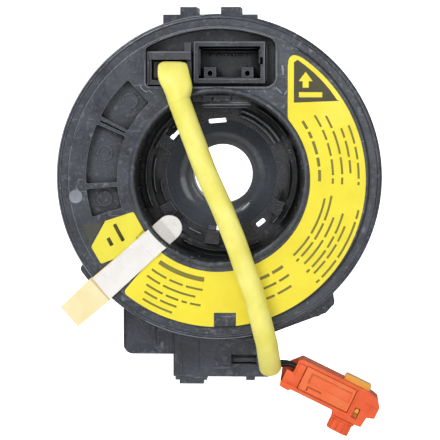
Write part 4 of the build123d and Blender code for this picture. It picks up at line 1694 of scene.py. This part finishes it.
@dataclass(frozen=True)
class WindowEdge(Detail):
    """The lit line round the connector window and on the rims of the sockets.

    Attributes:
        left: X of the window's left edge.
        right: X of its right edge.
        foot: Z of its lower edge.
        width: Width of the line.
    """

    left: float = -23.95
    right: float = 18.75
    foot: float = 29.15
    width: float = 0.2

    def upright(self, x: float, low: float, high: float) -> list[Point]:
        """Outline of an upright line at x, from low to high."""
        half = self.width / 2
        return [(x - half, low), (x + half, low), (x + half, high), (x - half, high)]

    def pieces(self) -> list[Blocks | Plates | Hoops]:
        """Lay out the window's line and the lines on the sockets' rims.

        Returns:
            The pieces, in the order in which they are made.
        """
        left, right, foot, width = self.left, self.right, self.foot, self.width
        low, high = foot - width / 2, foot + width / 2
        window = [
            bend(right - 3.4, foot + 3.4, 3.4, -90, 0, width),
            bend(left + 1.8, foot + 1.8, 1.8, 180, 270, width),
            bend(left + 1.2, foot + 1.2, 2.6, 190, 265, width * 2),
            self.upright(right, 32.6, 41.0),
            self.upright(left, 31.0, 38.0),
            [(-9.0, low), (15.3, low), (15.3, high), (-9.0, high)],
            arc_bar(48.5, 68, 113, width),
        ]
        rim = (BORDER_FACE - 0.04, BORDER_FACE + 0.1)
        rims = [
            Block((-7.9, 15.0), rim, (43.72, 43.9)),
            Block((-6.4, 13.5), rim, (31.82, 31.98)),
            Block((14.7, 14.86), rim, (30.8, 43.8)),
            Block((-7.9, -7.74), rim, (30.8, 43.8)),
            Block((-22.2, -9.0), (-35.86, -35.7), (40.5, 40.68)),
            Block((-23.0, -22.84), rim, (30.4, 40.4)),
        ]
        depth = (DISC_FRONT - 0.4, DISC_FRONT - 0.3)
        return [
            Plates("window_edge", window, depth, "shine"),
            Blocks("socket_rim_edges", rims, "shine", edge=0.02),
        ]


# ------------------------------------------------------------------ lock strip
@dataclass(frozen=True)
class StripTrim(Detail):
    """The strip over the bead, painted shade along the fold of its tab, and what lies at its
    edges.

    Attributes:
        angle: Angle of the strip round the steering axis.
        middle: Distance of its centre line from the axis.
        width: Its width over the bead.
        film: Thickness of the film over the bead.
        crest: Distance from the axis and depth of each row over the bead.
        steps: Faces across the strip.
        face: Depth of the strip's face beyond the bead.
    """

    angle: float = 221.7
    middle: float = 1.6
    width: float = 8.35
    film: float = 0.14
    crest: tuple[Point, ...] = ((28.4, -35.24), (30.4, -35.22), (33.4, -34.82))
    steps: int = 12
    face: float = LABEL_FACE - 0.6

    def place(self, reach: float, side: float) -> Point:
        """Find a point from its place on the strip.

        Args:
            reach: Distance out along the strip in millimetres.
            side: Distance to the side of the line through the axis.

        Returns:
            The point in X and Z.
        """
        turn = math.radians(self.angle)
        along, across = (math.cos(turn), math.sin(turn)), (-math.sin(turn), math.cos(turn))
        return (reach * along[0] + side * across[0], reach * along[1] + side * across[1])

    def bend_mesh(self) -> bpy.types.Mesh:
        """Skin the strip where it lies over the bead.

        Returns:
            The closed film.
        """
        turn = math.radians(self.angle)
        along = Vector((math.cos(turn), 0, math.sin(turn)))
        across = Vector((-math.sin(turn), 0, math.cos(turn)))
        work = bmesh.new()
        front, back = [], []
        for reach, y in self.crest:
            row = []
            for i in range(self.steps + 1):
                side = self.middle + self.width * (i / self.steps - 0.5)
                out = math.sqrt(reach**2 - side**2)
                row.append((along * out + across * side + Vector((0, y, 0))) * MM)
            front.append([work.verts.new(point) for point in row])
            under = Vector((0, self.film * MM, 0))
            back.append([work.verts.new(point + under) for point in row])
        rims = [(front[0], back[0]), (front[-1], back[-1])]
        for near, far in [*zip(front, front[1:]), *zip(back, back[1:]), *rims]:
            for i in range(self.steps):
                work.faces.new((near[i], near[i + 1], far[i + 1], far[i]))
        for k in (0, self.steps):
            for j in range(len(self.crest) - 1):
                work.faces.new((front[j][k], front[j + 1][k], back[j + 1][k], back[j][k]))
        bmesh.ops.recalc_face_normals(work, faces=work.faces)
        return kept_mesh(work, "strip_bend", 40)

    def outline(self, *places: Point) -> list[Point]:
        """Outline through places given as reach and side."""
        return [self.place(*place) for place in places]

    def pieces(self) -> list[Blocks | Plates | Hoops]:
        """Lay out the painted shade along the fold, the label's corner beside the strip, and the
        glue on its edge.

        Returns:
            The pieces, in the order in which they are made.
        """
        # painted shade: a darker line where the tab folds away from the strip
        fold = self.outline((52.6, -3.2), (53.5, -3.0), (53.4, 6.1), (52.9, 6.3))
        patch = self.outline((29.7, -3.5), (33.2, -3.3), (33.2, -2.45), (29.7, -2.4))
        glue = self.outline((38.0, -2.65), (53.2, -2.95), (53.2, -2.5), (38.0, -2.45))
        back = self.face + 0.1
        return [
            Plates("tab_fold", [fold], (self.face - 0.04, back), "fold", "cream_label"),
            Plates("code_patch", [patch], (LABEL_FACE, DISC_FRONT), "code", "white_label"),
            Plates("strip_glue", [glue], (self.face - 0.03, back), "cream", "cream_label"),
        ]

    def build(self, studio: Studio) -> None:
        """Make the bent film, then the small pieces.

        Args:
            studio: Takes the pieces.
        """
        studio.piece("strip_bend", self.bend_mesh(), Body.ROTOR, "film", "clear_film")
        super().build(studio)


# ------------------------------------------------------------------ labels
@dataclass(frozen=True)
class LabelSheet(Detail):
    """The yellow label as it is stuck on: a little low, with rounded corners.

    Attributes:
        middle: Its centre in X and Z.
        near: Inner radius.
        far: Outer radius.
        edge: X of its straight left edge.
        end: Angle of its lower end.
        notch: First and last X and the upper Z of its notch.
    """

    middle: Point = (-0.3, -0.7)
    near: float = 30.05
    far: float = 48.05
    edge: float = 22.4
    end: float = -130.0
    notch: tuple[float, float, float] = (-1.5, 5.7, -44.1)

    def at(self, radius: float, angle: float) -> Point:
        """Find a point from its place round the label's centre.

        Args:
            radius: Its radius in millimetres.
            angle: Its angle in degrees.

        Returns:
            The point in X and Z.
        """
        turn = math.radians(angle)
        x, z = radius * math.cos(turn), radius * math.sin(turn)
        return (self.middle[0] + x, self.middle[1] + z)

    def arc(self, radius: float, start: float, stop: float) -> list[Point]:
        """Points along a radius from one angle to another."""
        steps = max(2, round(abs(stop - start) / 1.5))
        return [self.at(radius, start + (stop - start) * i / steps) for i in range(steps + 1)]

    def angle(self, x: float, radius: float) -> float:
        """Angle at which a radius reaches x, above the centre."""
        return math.degrees(math.acos((x - self.middle[0]) / radius))

    def outline(self) -> list[Point]:
        """Follow the label's edge.

        Returns:
            Points in X and Z, clockwise from the upper corner.
        """
        at, near, far, end = self.at, self.near, self.far, self.end
        top, low = self.angle(self.edge, far), self.angle(self.edge, near)
        left, right, notch_top = self.notch
        tip, foot = at(far, top), at(near, low)
        points = soft_corner((self.edge, tip[1] - 5.8), tip, at(far, top - 7.0))
        points += self.arc(far, top - 7.4, -self.angle(right, far))
        points += [(right, notch_top), (left, notch_top)]
        points += self.arc(far, -self.angle(left, far), end + 2.2)
        points += soft_corner(at(far, end + 2.0), at(far, end), at(far - 1.6, end))
        points += soft_corner(at(near + 0.8, end), at(near, end), at(near, end + 1.5))
        points += self.arc(near, end + 2.0, low - 2.4)
        points += soft_corner(at(near, low - 2.0), foot, (self.edge, foot[1] + 1.0))
        return points

    def pieces(self) -> list[Blocks | Plates | Hoops]:
        """Lay out the sheet, which stands for the label's solid.

        Returns:
            The pieces, in the order in which they are made.
        """
        depth, slot = (LABEL_FACE, DISC_FRONT), "yellow_label"
        return [
            Plates("label_sheet", [self.outline()], depth, "label", slot, replaces="ring_label")
        ]


@dataclass(frozen=True)
class LabelPrint(Detail):
    """Print on the face label: a dark corner with an arrow, and plain bars in rows.

    Attributes:
        rows: Radius and height, first and last angle, and word lengths of each row.
        word_gap: Space between two words in millimetres.
        bar_share: Height of a bar as a share of its row.
        corner_radius: Radius of the dark corner's round side.
        corner_angles: Angles of the points along that side.
        arrow: Outline of the arrow.
        bar: Outline of the bar under it.
    """

    rows: tuple[tuple[float, float, float, float, tuple[int, ...]], ...] = (
        (32.8, 1.5, -2, 34, (5, 4, 6, 3, 4)),
        (37.1, 1.1, -3, 33, (2, 6, 5, 4, 5)),
        (40.1, 1.1, -3, 30, (2, 5, 7, 4)),
        (42.8, 1.1, 2, 22, (4, 5, 3)),
        (45.4, 1.1, -3, 22, (1, 5, 4, 6)),
        (35.1, 1.1, -46, -11, (6, 9)),
        (37.1, 1.1, -47, -9, (1, 5, 5, 7)),
        (39.5, 1.1, -45, -19, (7, 5)),
        (42.0, 1.1, -47, -16, (1, 5, 3, 5)),
        (43.9, 1.1, -45, -21, (4, 4, 4)),
        (46.6, 1.1, -47, -13, (1, 5, 9, 2)),
        (35.6, 1.6, -71, -54, (4, 3)),
        (39.0, 1.2, -68, -54, (5, 4)),
        (42.4, 1.2, -70, -56, (4, 5)),
        (33.6, 2.4, 235, 262, (11,)),
        (37.0, 1.1, 234, 262, (6, 5, 6)),
        (39.6, 1.1, 234, 259, (4, 9)),
        (42.1, 1.1, 236, 262, (7, 5, 2, 4)),
        (44.4, 1.1, 237, 252, (5, 6)),
        (46.7, 1.1, 238, 251, (8,)),
    )
    word_gap: float = 1.1
    bar_share: float = 0.62
    corner_radius: float = 45.9
    corner_angles: tuple[float, ...] = (33.2, 38, 43, 48, 53, 56.2)
    arrow: tuple[Point, ...] = (
        (27.2, 29.1),
        (29.2, 29.1),
        (29.2, 31.2),
        (30.5, 31.2),
        (28.2, 34.3),
        (25.9, 31.2),
        (27.2, 31.2),
    )
    bar: tuple[Point, ...] = ((26.0, 26.0), (33.6, 26.0), (33.6, 27.7), (26.0, 27.7))

    def bars(self) -> list[list[Point]]:
        """Turn each row's words into plain bars.

        Returns:
            The bars' outlines.
        """
        found = []
        for radius, height, start, end, words in self.rows:
            gap = self.word_gap / radius * 180 / math.pi
            room = (end - start) - gap * (len(words) - 1)
            angle = float(start)
            for word in words:
                span = room * word / sum(words)
                found.append(arc_bar(radius, angle, angle + span, height * self.bar_share))
                angle += span + gap
        return found

    def pieces(self) -> list[Blocks | Plates | Hoops]:
        """Lay out the rows of bars, the dark corner and the arrow.

        Returns:
            The pieces, in the order in which they are made.
        """
        slot, ink = "yellow_label", (LABEL_FACE - 0.03, LABEL_FACE + 0.02)
        turns = [math.radians(a) for a in self.corner_angles]
        round_side = [
            (self.corner_radius * math.cos(a), self.corner_radius * math.sin(a)) for a in turns
        ]
        dark = [(24.4, 24.3), (39.3, 24.9), *round_side, (24.4, 37.3)]
        over = (LABEL_FACE - 0.05, LABEL_FACE)
        return [
            Plates("label_rows", self.bars(), ink, "print", slot),
            Plates("label_corner", [dark], ink, "olive", slot),
            Plates("label_arrow", [self.arrow, self.bar], over, "label", slot),
        ]


@dataclass(frozen=True)
class CodeMark(Detail):
    """A grey film corner beside the code label, and two plain marks on the label.

    Attributes:
        film: Outline of the film corner.
        turn: Turn of the marks in degrees.
    """

    film: tuple[Point, ...] = ((-44.7, -15.8), (-37.4, -14.5), (-41.9, -22.2))
    turn: float = -62

    def pieces(self) -> list[Blocks | Plates | Hoops]:
        """Lay out the film corner and the marks.

        Returns:
            The pieces, in the order in which they are made.
        """
        ink = (LABEL_FACE - 0.03, LABEL_FACE + 0.03)
        marks = [
            Block((-35.6, -29.4), ink, (-18.6, -17.4), self.turn),
            Block((-36.8, -34.0), ink, (-21.6, -20.4), self.turn),
        ]
        film_depth = (LABEL_FACE + 0.05, DISC_FRONT)
        return [
            Plates("code_film", [self.film], film_depth, "smoke", "clear_film"),
            Blocks("code_mark", marks, "olive", "white_label", 0.02),
        ]


# ------------------------------------------------------------------ bracket
@dataclass(frozen=True)
class BracketDetail(Detail):
    """Flange lines, the slot's rib and lit edges on the bracket and the disc's rim, with painted
    shadow in the bracket's slot and a painted shade line round the label.

    Attributes:
        slot: First and last X of the cover's slot.
        rim_arcs: Radius, first and last angle and width of the rim's lit arcs.
        edge_shade_radius: Radius of the dark line of painted shade round the label.
        edge_shade_spans: First and last angles of that line.
    """

    slot: Span = (3.5, 12.1)
    rim_arcs: tuple[tuple[float, float, float, float], ...] = (
        (52.55, 243, 282, 0.22),
        (52.6, 95, 230, 0.24),
    )
    edge_shade_radius: float = 48.7
    edge_shade_spans: tuple[Span, ...] = ((235, 330), (-30, 58))

    def pieces(self) -> list[Blocks | Plates | Hoops]:
        """Lay out the bracket's ribs, edges and painted shadow, then the rim and the painted shade
        line round the label.

        Returns:
            The pieces, in the order in which they are made.
        """
        front = BRACKET_FACE
        ribs = [
            Block((-13.3, -12.9), (front - 0.25, front + 0.1), (-66.4, -56.0)),
            Block((-7.4, -7.1), (front - 0.2, front + 0.1), (-64.5, -55.0)),
            Block((-13.0, -6.4), (front + 0.1, front + 0.5), (-69.3, -68.9)),
        ]
        shoulder = [
            Block((-32.4, -31.9), (-18.75, -18.35), (-57.5, -43.0)),
            Block((-22.0, -21.6), (-18.6, -18.35), (-58.8, -50.5)),
        ]
        line = (front - 0.06, front + 0.1)
        edges = [
            Block((4.3, 11.6), (front - 0.1, front + 0.6), (-61.9, -60.6)),
            Block((-15.7, -15.5), line, (-66.6, -55.5)),
            Block((-28.6, -16.2), (-18.44, -18.3), (-59.5, -59.3)),
            Block((-15.4, 8.0), line, (-66.9, -66.7)),
        ]
        dark = (front - 0.03, front + 0.05)
        shadow = [
            Block(self.slot, dark, (-60.2, -59.6)),
            Block(self.slot, dark, (-62.8, -62.3)),
            Block((3.5, 4.1), dark, (-62.6, -59.8)),
        ]
        rim = [arc_bar(*arc) for arc in self.rim_arcs]
        rim_depth = (DISC_FRONT + 0.12, DISC_FRONT + 0.5)
        # painted shade: a near-black line round the label's edge
        edge_shade = [arc_bar(self.edge_shade_radius, start, end, 0.35) for start, end in self.edge_shade_spans]
        edge_shade_depth = (LABEL_FACE + 0.08, DISC_FRONT + 0.02)
        return [
            Blocks("bracket_ribs", ribs, "case", body=Body.STATOR),
            Blocks("shoulder_ribs", shoulder, "case", body=Body.STATOR),
            Blocks("bracket_edges", edges, "grey", edge=0.04, body=Body.STATOR),
            Blocks("slot_shadow", shadow, "deep", edge=0.02, body=Body.STATOR),
            Plates("rim_edge", rim, rim_depth, "shine", edge=0.04),
            Plates("label_seam", edge_shade, edge_shade_depth, "deep"),
        ]


# ------------------------------------------------------------------ plug
@dataclass(frozen=True)
class PlugDetail(Detail):
    """Raised lines, nose ribs and the split end of the squib plug, and its lock's tip.

    Sizes are given along the plug (u), in depth (Y) and across it (v), in millimetres.

    Attributes:
        origin: Middle of the plug's rear end in X and Z.
        lean: Slope of the plug in degrees.
        front: Depth of its front face.
        back: Depth of its back face.
        nose: Front and back depth of the ribs on the nose.
        lines: Front and back depth of the raised lines there.
    """

    origin: Point = (27.5, -59.4)
    lean: float = -26.0
    front: float = -33.2
    back: float = -21.6
    nose: Span = (-31.6, -23.2)
    lines: Span = (-32.4, -31.8)

    def block(self, u: Span, y: Span, v: Span) -> Block:
        """Lay a block along the plug.

        Args:
            u: First and last place along it.
            y: Front and back depth.
            v: First and last place across it.

        Returns:
            The turned block.
        """
        turn = math.radians(self.lean)
        along = Vector((math.cos(turn), math.sin(turn)))
        across = Vector((-math.sin(turn), math.cos(turn)))
        x, z = Vector(self.origin) + along * (sum(u) / 2) + across * (sum(v) / 2)
        half_u, half_v = (u[1] - u[0]) / 2, (v[1] - v[0]) / 2
        return Block((x - half_u, x + half_u), y, (z - half_v, z + half_v), self.lean)

    def pieces(self) -> list[Blocks | Plates | Hoops]:
        """Lay out the ribs of the plug and the tip of its lock.

        Returns:
            The pieces, in the order in which they are made.
        """
        front, back = self.front, self.back
        low, step = (front - 0.02, front + 0.4), (front + 0.7, front + 1.6)
        ribs = [
            self.block((1.2, 21.6), low, (-0.75, -0.25)),
            self.block((1.2, 16.6), low, (-10.4, -9.9)),
            self.block((20.9, 21.3), (front - 0.25, front + 0.3), (-9.2, -1.0)),
            self.block((26.4, 26.8), (front - 0.2, front + 0.3), (-6.6, -1.6)),
            self.block((24.4, 28.9), (front - 0.2, front + 0.3), (-4.0, -3.6)),
            self.block((17.0, 17.5), self.nose, (-16.4, -12.3)),
            self.block((23.5, 24.0), self.nose, (-16.4, -12.3)),
            self.block((19.2, 19.7), self.lines, (-16.4, -10.8)),
            self.block((21.3, 21.8), self.lines, (-16.4, -10.8)),
            self.block((16.6, 24.4), (-32.5, -22.3), (-12.7, -12.0)),
            self.block((2.0, 13.5), (back - 0.1, back), (-8.0, -3.0)),
            self.block((-3.2, 2.3), step, (-10.0, -5.2)),
            self.block((-0.4, 2.3), step, (-5.4, -1.2)),
            self.block((-0.9, -0.3), (front + 0.3, front + 1.6), (-5.6, -1.2)),
            self.block((-2.6, -0.8), (front + 0.4, front + 1.0), (-9.6, -8.9)),
        ]
        tip = self.block((22.6, 23.8), (front - 0.1, front + 0.6), (-8.0, -6.7))
        return [
            Blocks("plug_ribs", ribs, "orange", "orange_shell", 0.1),
            Blocks("lock_tip", [tip], "lock", "lock_yellow", 0.1, Body.LOCK),
        ]


# ------------------------------------------------------------------ studio
@dataclass(frozen=True)
class Camera:
    """The camera, slightly right of the axis and slightly above it.

    Attributes:
        sensor: Width of its sensor in millimetres.
        distance: Distance to its target in millimetres.
        across: Width that it sees at the target in millimetres.
        side: Tangent of its angle to the right.
        rise: Tangent of its angle upward.
        target: Point that it faces, in millimetres.
    """

    sensor: float = 36.0
    distance: float = 700.0
    across: float = 143.0
    side: float = 0.052
    rise: float = 0.065
    target: tuple[float, float, float] = (0.49, DISC_FRONT, -13.8)

    def build(self) -> None:
        """Add the camera to the scene."""
        data = bpy.data.cameras.new("camera")
        data.sensor_width = self.sensor
        data.lens = self.sensor * self.distance / self.across
        data.clip_start = 0.01
        camera = new_object("camera", data)
        side, rise = math.atan(self.side), math.atan(self.rise)
        level = math.cos(rise)
        away = Vector((math.sin(side) * level, -math.cos(side) * level, math.sin(rise)))
        camera.location = Vector(self.target) * MM + away * (self.distance / 1000)
        camera.rotation_euler = (-away).to_track_quat("-Z", "Y").to_euler()
        bpy.context.scene.camera = camera
        LOG.info("camera at %.0f mm", self.distance)


@dataclass(frozen=True)
class SoftLight:
    """A soft square light.

    Attributes:
        name: Object name.
        place: Where it stands, in metres.
        size: Side length in metres.
        power: Watts.
        aim: Point that it faces.
    """

    name: str
    place: tuple[float, float, float]
    size: float
    power: float
    aim: tuple[float, float, float] = (0.0, -0.02, 0.0)

    def build(self) -> None:
        """Add the light to the scene."""
        data = bpy.data.lights.new(self.name, "AREA")
        data.shape = "SQUARE"
        data.size = self.size
        data.energy = self.power
        light = new_object(self.name, data)
        light.location = self.place
        toward = Vector(self.aim) - Vector(self.place)
        light.rotation_euler = toward.to_track_quat("-Z", "Y").to_euler()
        LOG.info("light %s", self.name)


@dataclass(frozen=True)
class Stage:
    """Pale floor that curves up into a wall behind the object.

    Attributes:
        near: Y of its front edge in metres.
        start: Y at which it starts to curve up.
        turn: Radius of the curve.
        level: Height of the floor.
        top: Height of the wall.
        half: Half its width.
        glow: Light that it gives off where the camera sees it.
    """

    near: float = -1.6
    start: float = 1.2
    turn: float = 0.3
    level: float = -0.1
    top: float = 2.0
    half: float = 2.0
    glow: float = 1.2

    def profile(self) -> list[Point]:
        """Follow the floor and the wall from the front.

        Returns:
            Points in Y and Z, in metres.
        """
        points = [(self.near, self.level), (self.start, self.level)]
        for degrees in range(10, 100, 10):
            angle = math.radians(degrees)
            y = self.start + self.turn * math.sin(angle)
            points.append((y, self.level + self.turn * (1 - math.cos(angle))))
        return points + [(self.start + self.turn, self.top)]

    def build(self) -> None:
        """Make the floor."""
        work = bmesh.new()
        rows = [
            [work.verts.new((x, y, z)) for x in (-self.half, self.half)]
            for y, z in self.profile()
        ]
        for near, far in zip(rows, rows[1:]):
            work.faces.new((near[0], near[1], far[1], far[0]))
        mesh = kept_mesh(work, "floor", 60)
        graph = Graph("pale_floor")
        colour = graph.mix(graph.noise(120, 2), (0.93, 0.93, 0.93), (0.96, 0.96, 0.96))
        floor = graph.surface(
            Base_Color=colour,
            Roughness=0.9,
            Emission_Color=graph.mix(graph.seen(), (0, 0, 0), (1, 1, 1)),
            Emission_Strength=self.glow,
        )
        mesh.materials.append(floor)
        new_object("floor", mesh)
        LOG.info("stage")


@dataclass(frozen=True)
class Surroundings:
    """Pale surroundings, brighter where the camera sees them, and soft lights.

    Attributes:
        ambient: Strength of the surroundings as a light.
        lights: The lights.
    """

    ambient: float = 0.21
    lights: tuple[SoftLight, ...] = (
        SoftLight("key", (-0.4, -0.95, 0.65), 0.35, 7.3),
        SoftLight("fill", (0.7, -0.8, 0.25), 0.5, 2.0),
        SoftLight("front", (0.15, -1.0, 0.12), 0.25, 1.1),
        SoftLight("rim", (-0.6, 0.0, 0.5), 0.4, 1.8),
    )

    def build(self) -> None:
        """Set the world up and add the lights."""
        world = bpy.data.worlds.new("world")
        world.use_nodes = True
        tree = world.node_tree
        sky = tree.nodes["Background"]
        path, lift = tree.nodes.new("ShaderNodeLightPath"), tree.nodes.new("ShaderNodeMath")
        lift.operation = "MULTIPLY_ADD"
        lift.inputs[1].default_value = 1.0 - self.ambient
        lift.inputs[2].default_value = self.ambient
        tree.links.new(path.outputs["Is Camera Ray"], lift.inputs[0])
        tree.links.new(lift.outputs[0], sky.inputs["Strength"])
        sky.inputs["Color"].default_value = (1, 1, 1, 1)
        bpy.context.scene.world = world
        bpy.context.scene.view_settings.view_transform = "Standard"
        for light in self.lights:
            light.build()


def main() -> None:
    """Build the scene: dress the CAD nodes, then make every sub-assembly in order."""
    logging.basicConfig(level=logging.INFO)
    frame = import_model()
    studio = Studio({key: finish.make() for key, finish in FINISHES.items()})
    studio.dress_nodes(frame["nodes"])
    Camera().build()
    SoftSleeve().build(studio)
    SleeveTop().build(studio)
    PlugWires().build(studio, frame["nodes"])
    for part in (
        LabelPrint(),
        CodeMark(),
        *CONTACT_ROWS,
        FaceMarks(),
        HubDetail(),
        SocketDetail(),
        WindowEdge(),
        StripTrim(),
        LabelSheet(),
        BracketDetail(),
        PlugDetail(),
    ):
        part.build(studio)
    Stage().build()
    Surroundings().build()


if __name__ == "__main__":
    main()
